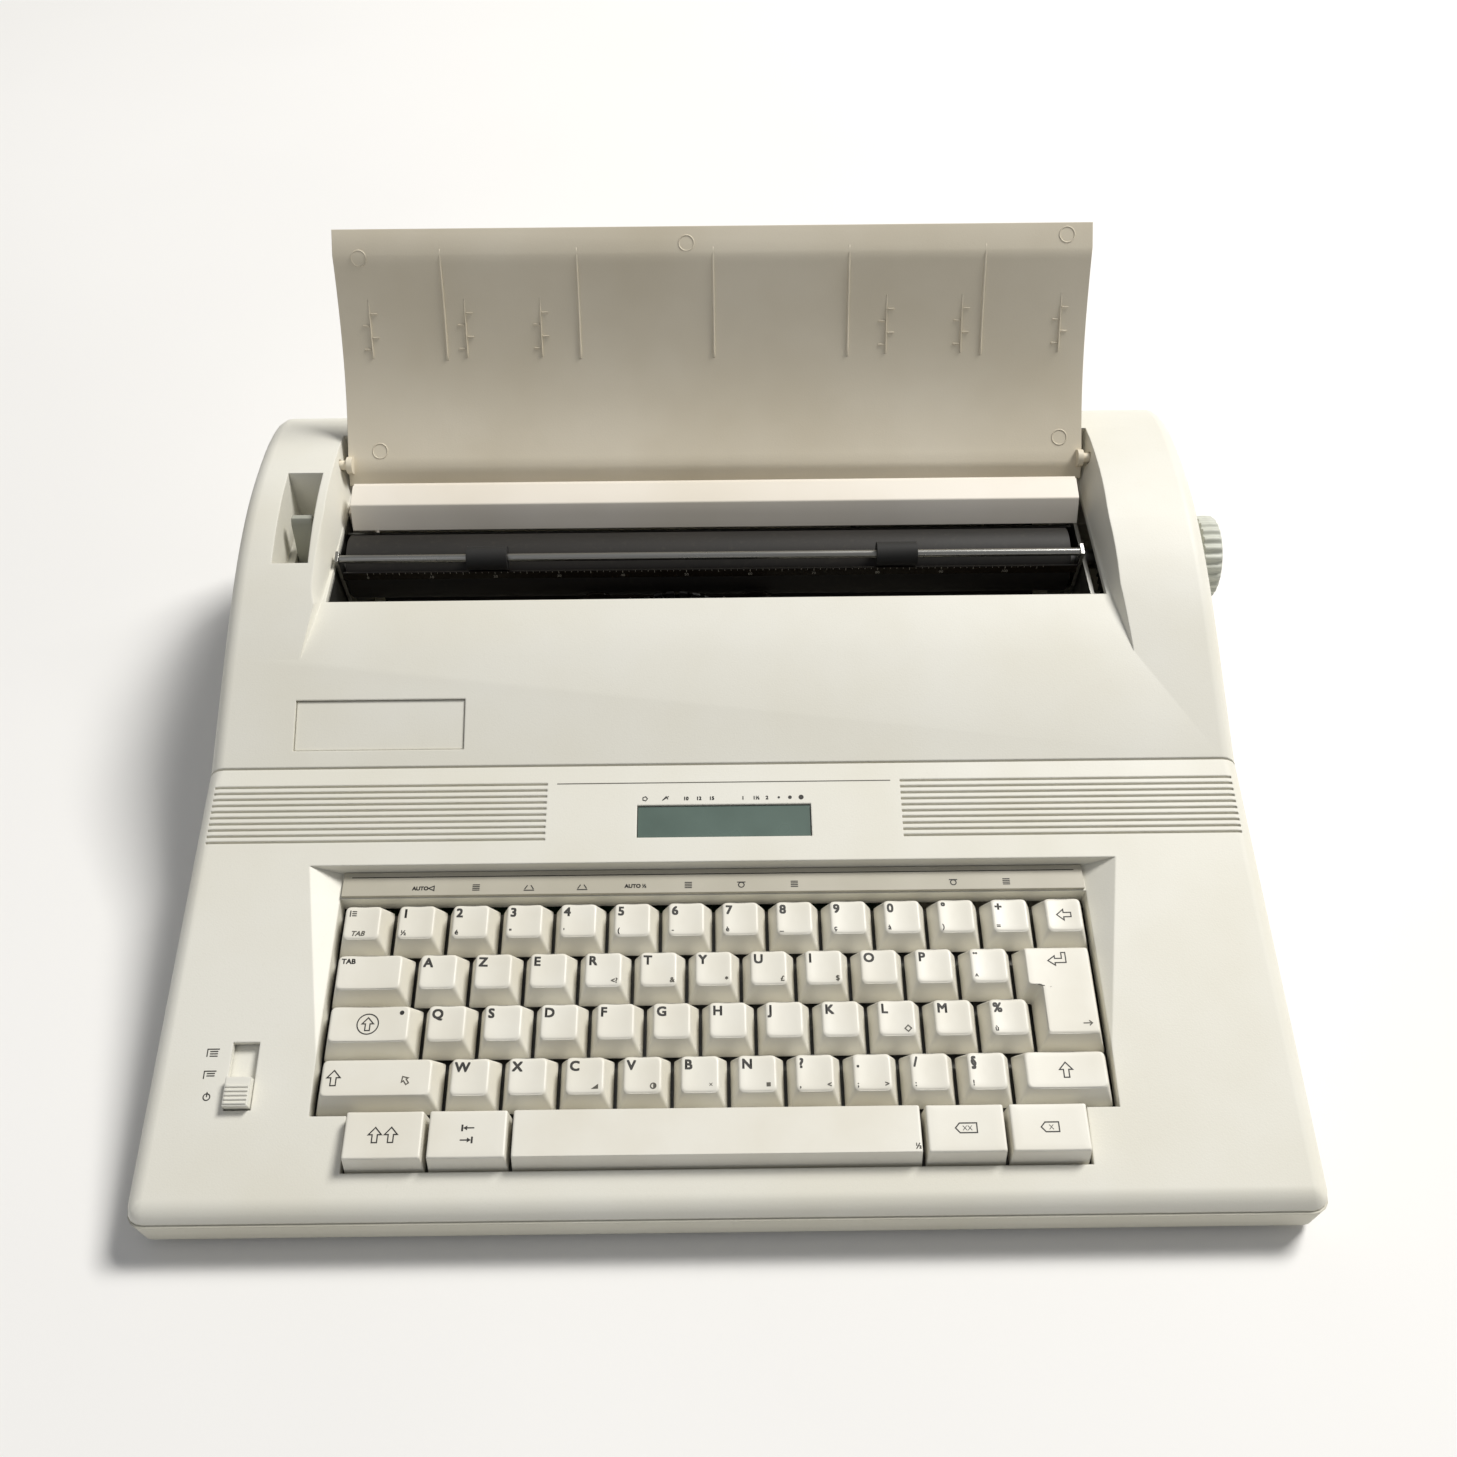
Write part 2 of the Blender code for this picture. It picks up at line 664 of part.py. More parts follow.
def build_keyboard_cover():
    cover = case_block("keyboard_cover", 0.0)
    keep(
        cover,
        box(
            "cover_region",
            (-CASE_WIDTH, -CASE_WIDTH, PARTING_Z + GAP / 2),
            (CASE_WIDTH, SEAM_Y - SEAM_GAP / 2, CASE_WIDTH),
        ),
    )
    hollow = case_block("cover_hollow", WALL)
    cut(hollow, well_surround())
    cut(cover, hollow)
    cut(cover, well_funnel())
    cut(cover, well_holes())
    (x0, s0), (x1, s1) = window_span()
    (a0, b0), (a1, b1) = switch_span()
    cut(
        cover,
        box(
            "window_pocket",
            (x0 - GAP, s0 - GAP, -WINDOW_SINK - WINDOW_THICK - GAP),
            (x1 + GAP, s1 + GAP, 2 * MM),
            DECK_PLANE,
        ),
        box("switch_slot", (a0, b0, -2 * WALL), (a1, b1, 2 * MM), DECK_PLANE),
        *grille_slots(),
    )
    cut(
        cover,
        box(
            "window_hole",
            (x0 + WINDOW_LAP, s0 + WINDOW_LAP, -2 * WALL),
            (x1 - WINDOW_LAP, s1 - WINDOW_LAP, 2 * MM),
            DECK_PLANE,
        ),
    )
    finish_part(cover, "case_plastic", smooth=True)


def recess_sections(extra):
    """The lid's recess between the shoulders, as sections from front to back.

    Extra makes it larger all round.
    """
    front = TIP_Y - 1.5 * MM - extra
    places = (
        (front, RECESS_HALF + RECESS_FLARE, TIP_Z - 0.4 * MM, RECESS_FLARE / 4),
        (PANEL_Y, RECESS_HALF + 1.5 * MM, PANEL_Z, RECESS_LEAN),
        (PLATEN_Y, RECESS_HALF, PANEL_Z, RECESS_LEAN),
        (OPENING_BACK_Y + extra, RECESS_HALF, PANEL_Z, RECESS_LEAN),
    )
    sections = []
    for y, half, floor, lean in places:
        top = max(shoulder_z(y), floor + 1.0 * MM) + 2.0 * MM
        low = floor - extra
        sections.append(
            [
                (RECESS_X - half - extra, y, low),
                (RECESS_X + half + extra, y, low),
                (RECESS_X + half + lean + extra, y, top),
                (RECESS_X - half - lean - extra, y, top),
            ]
        )
    return sections


def pocket_box(name, extra, slot_only=False):
    """The release lever's pocket, or the slot in its floor that the lever passes through."""
    if slot_only:
        reach = POCKET_FLOOR - PLATEN_Z - LEVER_PIVOT_Z
        swing = reach * math.tan(LEVER_SWING - LEVER_LEAN) + LEVER_THICK
        lever_y = PLATEN_Y + LEVER_PIVOT_Y
        low = (LEVER_X - LEVER_WIDTH / 2 - 2 * RUNNING, lever_y - swing - RUNNING, POCKET_FLOOR - 3 * WALL)
        high = (LEVER_X + LEVER_WIDTH / 2 + 2 * RUNNING, lever_y + swing + RUNNING, POCKET_FLOOR + WALL)
    else:
        low = (POCKET_LEFT - extra, PLATEN_Y + POCKET_FRONT - extra, POCKET_FLOOR - extra)
        high = (POCKET_RIGHT + extra, PLATEN_Y + POCKET_BACK + extra, CREST_Z + WALL)
    return box(name, low, high)


def inlet_opening(name, extra, deep):
    """The inlet's outline through the rear wall."""
    return box(
        name,
        (INLET_X - INLET_WIDTH / 2 - extra, REAR_Y - deep, INLET_Z - INLET_HEIGHT / 2 - extra),
        (INLET_X + INLET_WIDTH / 2 + extra, REAR_Y + WALL, INLET_Z + INLET_HEIGHT / 2 + extra),
    )


def build_rear_hood():
    hood = case_block("rear_hood", 0.0)
    keep(
        hood,
        box(
            "hood_region",
            (-CASE_WIDTH, SEAM_Y + SEAM_GAP / 2, PARTING_Z + GAP / 2),
            (CASE_WIDTH, 2 * CASE_WIDTH, CASE_WIDTH),
        ),
    )
    hollow = case_block("hood_hollow", WALL)
    surround = loft("recess_surround", recess_sections(WALL))
    cut(hollow, join(surround, pocket_box("pocket_surround", WALL)))
    cut(hood, hollow)
    cut(hood, loft("recess", recess_sections(0.0)))
    cut(
        hood,
        box(
            "paper_opening",
            (RECESS_X - RECESS_HALF + GAP, PANEL_Y, FLOOR_Z + WALL),
            (RECESS_X + RECESS_HALF - GAP, OPENING_BACK_Y - GAP, PANEL_Z + WALL),
        ),
    )
    cut(hood, pocket_box("pocket", 0.0))
    cut(
        hood,
        pocket_box("pocket_slot", 0.0, slot_only=True),
        box(
            "badge_pocket",
            (BADGE_X - BADGE_WIDTH / 2 - GAP, BADGE_START - GAP, -BADGE_SINK - BADGE_THICK - GAP),
            (BADGE_X + BADGE_WIDTH / 2 + GAP, BADGE_START + BADGE_DEPTH + GAP, 2 * MM),
            RAMP_PLANE,
        ),
        inlet_opening("inlet_hole", GAP, 2 * WALL),
        rod(
            "shaft_hole",
            SHAFT_RADIUS + 2 * RUNNING,
            (CASE_HALF - 4 * WALL, PLATEN_Y, PLATEN_Z),
            (CASE_WIDTH, PLATEN_Y, PLATEN_Z),
        ),
        *[
            rod(
                f"hinge_hole_{i}",
                HINGE_PIN_RADIUS + RUNNING,
                (RECESS_X + side * (LID_HALF - WALL), HINGE_Y, HINGE_Z),
                (RECESS_X + side * (LID_HALF + 2 * WALL), HINGE_Y, HINGE_Z),
                16,
            )
            for i, side in enumerate((-1, 1))
        ],
    )
    finish_part(hood, "case_plastic", smooth=True)


def tray_ring(inset, z):
    """A level section of the lower case, its corners as round as the upper case's."""
    radius = EDGE_ROUND - inset if inset < EDGE_ROUND else MM
    middle_x = CASE_HALF - inset - radius
    near = inset + radius
    far = REAR_Y - inset - radius
    corners = ((middle_x, far), (-middle_x, far), (-middle_x, near), (middle_x, near))
    ring = []
    for quarter, (x, y) in enumerate(corners):
        for i in range(5):
            angle = math.pi / 2 * (quarter + i / 4)
            ring.append((x + radius * math.cos(angle), y + radius * math.sin(angle), z))
    return ring


def tray_block(name, inset):
    """The lower case's solid: a base that widens up to the parting line, with a small chamfer under it."""
    top = PARTING_Z + EDGE_ROUND + 4 * MM
    levels = (
        (TRAY_PINCH + TRAY_CHAMFER, BASE_Z + inset),
        (TRAY_PINCH, BASE_Z + inset + TRAY_CHAMFER),
        (0.0, PARTING_Z),
        (0.0, top),
    )
    return loft(name, [tray_ring(pinch + inset, z) for pinch, z in levels])


def motor_axis():
    """Where the feed motor's pinion meshes with the platen gear, as (y, z)."""
    reach = (GEAR_RADIUS + PINION_RADIUS + 0.15 * MM) / math.sqrt(2)
    return PLATEN_Y - reach, PLATEN_Z - reach


def build_base_tray():
    tray = tray_block("base_tray", 0.0)
    keep(
        tray,
        box(
            "tray_region",
            (-CASE_WIDTH, -CASE_WIDTH, -CASE_WIDTH),
            (CASE_WIDTH, 2 * CASE_WIDTH, PARTING_Z - GAP / 2),
        ),
    )
    cut(tray, tray_block("tray_hollow", WALL))
    motor_y, motor_z = motor_axis()
    join(
        tray,
        box(
            "motor_saddle",
            (GEAR_X + 9 * MM, motor_y - 8 * MM, BASE_Z + WALL / 2),
            (GEAR_X + 24 * MM, motor_y + 8 * MM, motor_z - FEED_MOTOR_RADIUS - GAP),
        ),
    )
    finish_part(tray, "base_plastic", smooth=True)


def build_feet():
    places = {
        "front_left": (-1, FOOT_INSET),
        "front_right": (1, FOOT_INSET),
        "rear_left": (-1, REAR_Y - FOOT_INSET),
        "rear_right": (1, REAR_Y - FOOT_INSET),
    }
    for name, (side, y) in places.items():
        x = side * (CASE_HALF - FOOT_INSET)
        foot = rod(f"foot_{name}", FOOT_RADIUS, (x, y, 0.0), (x, y, BASE_Z - GAP))
        finish_part(foot, "dark_rubber", smooth=True)


def build_deck_fittings():
    (x0, s0), (x1, s1) = window_span()
    window = box(
        "display_window", (x0, s0, -WINDOW_SINK - WINDOW_THICK), (x1, s1, -WINDOW_SINK), DECK_PLANE
    )
    finish_part(window, "display_glass")
    module = box(
        "display_module",
        (x0 - 4 * MM, s0 - 4 * MM, -WALL - 7 * MM),
        (x1 + 4 * MM, s1 + 4 * MM, -WALL - GAP),
        DECK_PLANE,
    )
    finish_part(module, "black_plastic")
    badge = box(
        "nameplate_badge",
        (BADGE_X - BADGE_WIDTH / 2, BADGE_START, -BADGE_SINK - BADGE_THICK),
        (BADGE_X + BADGE_WIDTH / 2, BADGE_START + BADGE_DEPTH, -BADGE_SINK),
        RAMP_PLANE,
    )
    finish_part(badge, "case_plastic")
    low_x = BLOCK_X + CAP_GAP / 2 - WELL_CLEARANCE + 2 * GAP
    high_x = BLOCK_RIGHT - CAP_GAP / 2 + WELL_CLEARANCE - 2 * GAP
    strip = box(
        "function_strip",
        (low_x, WELL_BACK_V + GAP, -WELL_LEDGE + GAP),
        (high_x, STRIP_BACK_V - GAP, -WELL_LEDGE + GAP + STRIP_THICKNESS),
        KEY_PLANE,
    )
    finish_part(strip, "strip_plastic")


def build_power_slider():
    """The three-place slider: a ribbed grip through the slot, and a flange under the deck."""
    (a0, b0), (a1, _) = switch_span()
    length = SWITCH_LENGTH - SWITCH_TRAVEL - 4 * GAP
    start = b0 + 2 * GAP
    grip = box(
        "power_slider",
        (a0 + GAP, start, -WALL - 2 * MM),
        (a1 - GAP, start + length, 3.2 * MM),
        DECK_PLANE,
    )
    flange = box(
        "slider_flange",
        (a0 - 2 * MM, start - 1 * MM, -WALL - 3 * MM),
        (a1 + 2 * MM, start + length + 1 * MM, -WALL - 1 * MM),
        DECK_PLANE,
    )
    join(grip, flange)
    finish_part(grip, "case_plastic")


# ---- keys -----------------------------------------------------------------------------------------
STEMS = []                 # the middle of every stem, in the key plane


def front_row_span():
    """Left and right edges of the front row's skirts."""
    low = BLOCK_X + FRONT_ROW_START * KEY_PITCH
    high = low + (4 * SMALL_BAR_UNITS + SPACE_UNITS) * KEY_PITCH
    return low + CAP_GAP / 2, high - CAP_GAP / 2


def rectangle(x0, x1, v0, v1, h):
    return [(x0, v0, h), (x1, v0, h), (x1, v1, h), (x0, v1, h)]


def key_cap(name, start, units, row, bar=False):
    """One cap with its stem. Start and units are in pitches from the key block's left edge."""
    x0 = BLOCK_X + start * KEY_PITCH + CAP_GAP / 2
    x1 = BLOCK_X + (start + units) * KEY_PITCH - CAP_GAP / 2
    if bar:
        back = FRONT_ROW_V + BAR_CAP_INSET
        front = FRONT_ROW_V - FRONT_ROW_DEPTH
        side, rear, fore = BAR_CAP_INSET, BAR_CAP_INSET, CAP_BACK_INSET
    else:
        back = row * KEY_PITCH + CAP_BACK_INSET
        front = back - (KEY_PITCH - CAP_GAP)
        side, rear, fore = CAP_SIDE_INSET, CAP_BACK_INSET, CAP_FRONT_INSET
    middle = Vector(((x0 + x1) / 2, (front + back) / 2, 0.0))
    half = STEM_SIDE / 2
    stem = (middle.x - half, middle.x + half, middle.y - half, middle.y + half)
    sections = (
        rectangle(*stem, -CAP_HEIGHT - STEM_LENGTH),
        rectangle(*stem, -CAP_HEIGHT),
        rectangle(x0, x1, front, back, -CAP_HEIGHT),
        rectangle(x0 + side, x1 - side, front + fore, back - rear, 0.0),
    )
    STEMS.append(middle)
    return loft(name, sections, KEY_PLANE, middle)


def build_key_row(name, start, count, row):
    """A run of equal caps. They share one solid, joined by a web inside their skirts."""
    caps = [key_cap(f"{name}_{i}", start + i, 1, row) for i in range(count)]
    first, last = caps[0].location, caps[-1].location
    web = 2.5 * MM
    bar = box(
        name,
        (first.x, first.y - web, -CAP_HEIGHT + 0.2 * MM),
        (last.x, first.y + web, -CAP_HEIGHT + 3 * MM),
        KEY_PLANE,
    )
    join(bar, *caps)
    finish_part(bar, "key_plastic")


def build_return_key():
    """The tall key over two rows, wider in the upper one."""
    upper_left = BLOCK_X + 12.5 * KEY_PITCH + CAP_GAP / 2
    lower_left = BLOCK_X + 12.75 * KEY_PITCH + CAP_GAP / 2
    right = BLOCK_RIGHT - CAP_GAP / 2
    back = 2 * KEY_PITCH + CAP_BACK_INSET
    split = KEY_PITCH + CAP_BACK_INSET
    front = back - 2 * KEY_PITCH + CAP_GAP

    def ring(side, rear, fore, h):
        return [
            (upper_left + side, back - rear, h),
            (right - side, back - rear, h),
            (right - side, front + fore, h),
            (lower_left + side, front + fore, h),
            (lower_left + side, split + fore, h),
            (upper_left + side, split + fore, h),
        ]

    middle = Vector(((lower_left + right) / 2, (front + back) / 2, 0.0))
    sections = (
        ring(0.0, 0.0, 0.0, -CAP_HEIGHT),
        ring(CAP_SIDE_INSET, CAP_BACK_INSET, CAP_FRONT_INSET, 0.0),
    )
    cap = loft("return_key", sections, KEY_PLANE, middle)
    half = STEM_SIDE / 2
    stem = box(
        "return_stem",
        (middle.x - half, middle.y - half, -CAP_HEIGHT - STEM_LENGTH),
        (middle.x + half, middle.y + half, -CAP_HEIGHT + MM),
        KEY_PLANE,
    )
    join(cap, stem)
    STEMS.append(middle)
    finish_part(cap, "key_plastic")


def build_keys():
    build_key_row("number_row_keys", 0, 14, 3)
    build_key_row("top_letter_keys", 1.5, 11, 2)
    build_key_row("home_letter_keys", 1.75, 11, 1)
    build_key_row("bottom_letter_keys", 2.25, 10, 0)
    singles = (
        ("tab_key", 0, 1.5, 2),
        ("lock_key", 0, 1.75, 1),
        ("left_shift_key", 0, 2.25, 0),
        ("right_shift_key", 12.25, 1.75, 0),
    )
    for name, start, units, row in singles:
        finish_part(key_cap(name, start, units, row), "key_plastic")
    build_return_key()
    start = FRONT_ROW_START
    for name, units in (
        ("code_key", SMALL_BAR_UNITS),
        ("margin_key", SMALL_BAR_UNITS),
        ("space_bar", SPACE_UNITS),
        ("word_erase_key", SMALL_BAR_UNITS),
        ("erase_key", SMALL_BAR_UNITS),
    ):
        finish_part(key_cap(name, start, units, -1, bar=True), "key_plastic")
        start += units


def build_key_support():
    """The plate that guides the stems, and the contact board under it."""
    low_x = BLOCK_X - 2 * MM
    high_x = BLOCK_RIGHT + 2 * MM
    front = FRONT_ROW_V - FRONT_ROW_DEPTH - 1 * MM
    back = KEY_BACK_V + 1 * MM
    top = -CAP_HEIGHT - KEY_TRAVEL - 2 * GAP
    thick = 2.0 * MM
    plate_ = box("key_frame_plate", (low_x, front, top - thick), (high_x, back, top), KEY_PLANE)
    half = STEM_SIDE / 2 + RUNNING
    holes = [
        box(
            f"stem_hole_{i}",
            (stem.x - half, stem.y - half, top - 2 * thick),
            (stem.x + half, stem.y + half, top + thick),
            KEY_PLANE,
        )
        for i, stem in enumerate(STEMS)
    ]
    cut(plate_, *holes)
    finish_part(plate_, "steel")
    board_top = -CAP_HEIGHT - STEM_LENGTH - KEY_TRAVEL - 2 * GAP
    board = box(
        "keyboard_circuit", (low_x, front, board_top - 1.2 * MM), (high_x, back, board_top), KEY_PLANE
    )
    finish_part(board, "board_green")


# ---- inner structure ------------------------------------------------------------------------------
def bail_pivot():
    """The bail's pivot as (y, z)."""
    return PLATEN_Y + BAIL_PIVOT_Y, PLATEN_Z + BAIL_PIVOT_Z


def pressure_axis():
    """The pressure roller's axis as (y, z): under the platen, a little behind its middle."""
    reach = PLATEN_RADIUS + PRESSURE_RADIUS + GAP
    angle = math.radians(-75)
    return PLATEN_Y + reach * math.cos(angle), PLATEN_Z + reach * math.sin(angle)


def build_side_frame(name, low_x, with_lever):
    """An upright plate with a bore for every shaft that it carries."""
    front = SEAM_Y + RAIL_FRONT[0] - 9 * MM
    back = PLATEN_Y + 27 * MM
    outline = [
        (front, FLOOR_Z),
        (front, 46 * MM),
        (PANEL_Y - 10 * MM, FRAME_TOP - 7 * MM),
        (PANEL_Y + 1 * MM, FRAME_TOP),
        (back - 6 * MM, FRAME_TOP),
        (back, FRAME_TOP - 14 * MM),
        (back, FLOOR_Z),
    ]
    bores = [
        ((PLATEN_Y, PLATEN_Z), SHAFT_RADIUS + RUNNING, 24),
        ((SEAM_Y + RAIL_FRONT[0], RAIL_FRONT[1]), RAIL_RADIUS + GAP, 24),
        ((SEAM_Y + RAIL_REAR[0], RAIL_REAR[1]), RAIL_RADIUS + GAP, 24),
        (bail_pivot(), 1.5 * MM + RUNNING, 16),
        (pressure_axis(), 1.6 * MM + RUNNING, 16),
    ]
    if with_lever:
        lever_pivot = (PLATEN_Y + LEVER_PIVOT_Y, PLATEN_Z + LEVER_PIVOT_Z)
        bores.append((lever_pivot, 2.0 * MM + RUNNING, 16))
    outlines = [outline] + [circle(centre, radius, count) for centre, radius, count in bores]
    finish_part(plate(name, outlines, low_x, low_x + FRAME_THICK), "steel")


def build_rails():
    for name, (setback, height) in (("carriage_rail_front", RAIL_FRONT), ("carriage_rail_rear", RAIL_REAR)):
        rail = rod(
            name,
            RAIL_RADIUS,
            (FRAME_LEFT_OUTER - MM, SEAM_Y + setback, height),
            (FRAME_RIGHT_OUTER + MM, SEAM_Y + setback, height),
        )
        finish_part(rail, "steel", smooth=True)


def build_paper_path():
    """The curved pan behind the platen, and the guide bar over it."""
    inner = PLATEN_RADIUS + 1.5 * MM
    angles = [math.radians(a) for a in range(25, -51, -5)]
    arc = [(PLATEN_Y + inner * math.cos(a), PLATEN_Z + inner * math.sin(a)) for a in angles]
    outer = inner + PAN_THICK
    back = [(PLATEN_Y + outer * math.cos(a), PLATEN_Z + outer * math.sin(a)) for a in reversed(angles)]
    pan = plate("paper_pan", [arc + back], FRAME_LEFT + GAP, FRAME_RIGHT - GAP)
    finish_part(pan, "steel", smooth=True)
    y0 = BAR_FRONT_Y
    y1 = y0 + BAR_DEPTH
    top = BAR_BOTTOM + BAR_HEIGHT
    slot = 2.2 * MM
    outline = [
        (y0, BAR_BOTTOM),
        (y0 + BAR_SLANT, top - 0.6 * MM),
        (y0 + BAR_SLANT + 0.7 * MM, top),
        (y1 - slot, top + 2.0 * MM),
        (y1 - slot, top + 1.0 * MM),
        (y1, top + 1.2 * MM),
        (y1, BAR_BOTTOM),
    ]
    bar = plate("paper_guide_bar", [outline], BAR_LEFT, BAR_RIGHT)
    tab = 6.0 * MM
    tab_low = FRAME_TOP - 2 * tab
    for name, low_x, high_x in (
        ("bar_tab_left", FRAME_LEFT + 2 * GAP, BAR_LEFT + tab),
        ("bar_tab_right", FRAME_RIGHT - GAP - tab, FRAME_RIGHT - GAP),
    ):
        join(bar, box(name, (low_x, y1 - tab, tab_low), (high_x, y1 - MM, BAR_BOTTOM + MM)))
    finish_part(bar, "bar_plastic")


def build_electrics():
    board = box(
        "main_board",
        (-150 * MM, KEYS_Y + STRIP_BACK_V, FLOOR_Z + 3 * MM),
        (60 * MM, SEAM_Y - MM, FLOOR_Z + 4.6 * MM),
    )
    finish_part(board, "board_green")
    transformer = box(
        "transformer",
        (60 * MM, HINGE_Y + 3 * MM, FLOOR_Z),
        (110 * MM, REAR_Y - 4 * WALL, 50 * MM),
    )
    round_edges(transformer, 2 * MM, 2)
    finish_part(transformer, "motor_steel")
    inlet = inlet_opening("mains_inlet", 0.0, INLET_DEPTH)
    rim = box(
        "inlet_region",
        (INLET_X - INLET_WIDTH, REAR_Y - INLET_DEPTH - MM, 0.0),
        (INLET_X + INLET_WIDTH, REAR_Y - GAP, CREST_Z),
    )
    keep(inlet, rim)
    half_width = INLET_WIDTH / 2 - 1.5 * MM
    half_height = INLET_HEIGHT / 2 - 1.5 * MM
    cut(
        inlet,
        box(
            "inlet_socket",
            (INLET_X - half_width, REAR_Y - INLET_DEPTH + 2 * MM, INLET_Z - half_height),
            (INLET_X + half_width, REAR_Y + WALL, INLET_Z + half_height),
        ),
    )
    join(
        inlet,
        *[
            rod(
                f"inlet_pin_{i}",
                1.2 * MM,
                (INLET_X + side * INLET_PIN_SPACING / 2, REAR_Y - INLET_DEPTH + MM, INLET_Z),
                (INLET_X + side * INLET_PIN_SPACING / 2, REAR_Y - 3 * MM, INLET_Z),
                12,
            )
            for i, side in enumerate((-1, 1))
        ],
    )
    finish_part(inlet, "black_plastic")


# ---- platen drive ---------------------------------------------------------------------------------
def gear_outline(centre, teeth, turn=0.0):
    """A spur gear's outline with straight-sided teeth."""
    pitch_radius = GEAR_MODULE * teeth / 2
    root = pitch_radius - 1.15 * GEAR_MODULE
    tip = pitch_radius + 0.75 * GEAR_MODULE
    step = 2 * math.pi / teeth
    root_half = 0.27 * step
    tip_half = 0.11 * step
    points = []
    for i in range(teeth):
        middle = turn + i * step
        for radius, angle in (
            (root, middle - root_half),
            (tip, middle - tip_half),
            (tip, middle + tip_half),
            (root, middle + root_half),
        ):
            points.append((centre[0] + radius * math.cos(angle), centre[1] + radius * math.sin(angle)))
    return points


def build_platen():
    axis = (PLATEN_Y, PLATEN_Z)
    bore = SHAFT_RADIUS + GAP
    half = (PLATEN_RIGHT - PLATEN_LEFT) / 2
    profile = [(bore, half), (PLATEN_RADIUS, half), (PLATEN_RADIUS, -half), (bore, -half)]
    middle = (PLATEN_LEFT + half, *axis)
    roller = turned("platen_roller", profile, middle, steps=48, axis="X", closed=True)
    finish_part(roller, "platen_rubber", smooth=True)
    knob_end = knob_inner_x + KNOB_LENGTH
    shaft = rod(
        "platen_shaft",
        SHAFT_RADIUS,
        (FRAME_LEFT_OUTER - 2 * MM, *axis),
        (knob_end - 3 * MM, *axis),
    )
    finish_part(shaft, "steel", smooth=True)
    knob_outline = []
    for i in range(KNOB_RIBS):
        middle_angle = 2 * math.pi * i / KNOB_RIBS
        for radius, offset in ((KNOB_RADIUS - 1.2 * MM, -0.5), (KNOB_RADIUS, -0.25), (KNOB_RADIUS, 0.25)):
            angle = middle_angle + offset * 2 * math.pi / KNOB_RIBS
            knob_outline.append((axis[0] + radius * math.cos(angle), axis[1] + radius * math.sin(angle)))
    knob = plate("platen_knob", [knob_outline], knob_inner_x, knob_end, origin=(knob_inner_x, *axis))
    cut(
        knob,
        rod(
            "knob_bore",
            SHAFT_RADIUS + GAP,
            (knob_inner_x - MM, *axis),
            (knob_end - 3 * MM + GAP, *axis),
        ),
    )
    finish_part(knob, "grey_plastic")
    gear_bore = circle(axis, SHAFT_RADIUS + GAP, 24)
    outlines = [gear_outline(axis, GEAR_TEETH, turn=mesh_angle()), gear_bore]
    gear = plate("platen_gear", outlines, GEAR_X, GEAR_X + GEAR_WIDTH, origin=(GEAR_X, *axis))
    finish_part(gear, "black_plastic")


def mesh_angle():
    """Turns the platen gear so that a tooth points at the pinion."""
    return math.radians(225)


def build_feed_drive():
    centre = motor_axis()
    toward_platen = math.radians(45)
    half_tooth = math.pi / PINION_TEETH
    outline = gear_outline(centre, PINION_TEETH, turn=toward_platen + half_tooth)
    pinion = plate("feed_pinion", [outline], GEAR_X, GEAR_X + GEAR_WIDTH, origin=(GEAR_X, *centre))
    shaft = rod(
        "pinion_shaft",
        1.5 * MM,
        (GEAR_X + GEAR_WIDTH - MM, *centre),
        (GEAR_X + GEAR_WIDTH + 1.4 * MM, *centre),
        12,
    )
    join(pinion, shaft)
    finish_part(pinion, "black_plastic")
    motor = rod(
        "feed_motor",
        FEED_MOTOR_RADIUS,
        (GEAR_X + GEAR_WIDTH + 2 * MM, *centre),
        (GEAR_X + GEAR_WIDTH + 24 * MM, *centre),
        32,
    )
    finish_part(motor, "motor_steel", smooth=True)
    axis = pressure_axis()
    roller = rod(
        "pressure_roller",
        PRESSURE_RADIUS,
        (PLATEN_LEFT + 10 * MM, *axis),
        (PLATEN_RIGHT - 10 * MM, *axis),
        32,
    )
    spindle = rod(
        "pressure_spindle",
        1.6 * MM,
        (FRAME_LEFT_OUTER, *axis),
        (FRAME_RIGHT_OUTER, *axis),
        16,
    )
    join(roller, spindle)
    finish_part(roller, "dark_rubber", smooth=True)


def build_release_lever():
    """A flat lever on a stub that turns in the left side frame."""
    y0 = PLATEN_Y + LEVER_PIVOT_Y
    z0 = PLATEN_Z + LEVER_PIVOT_Z
    half = LEVER_THICK / 2
    outline = [
        (y0 - half, z0 - half),
        (y0 - half, z0 + LEVER_REACH - half),
        (y0 - half + 1.2 * MM, z0 + LEVER_REACH),
        (y0 + half - 1.2 * MM, z0 + LEVER_REACH),
        (y0 + half, z0 + LEVER_REACH - half),
        (y0 + half, z0 - half),
    ]
    low_x = LEVER_X - LEVER_WIDTH / 2
    lever = plate("paper_release_lever", [outline], low_x, low_x + LEVER_WIDTH, origin=(LEVER_X, y0, z0))
    lever.rotation_euler.x = -LEVER_LEAN
    stub = rod(
        "lever_stub",
        2.0 * MM,
        (low_x + LEVER_WIDTH / 2, y0, z0),
        (FRAME_LEFT, y0, z0),
        16,
    )
    join(lever, stub)
    finish_part(lever, "grey_plastic")


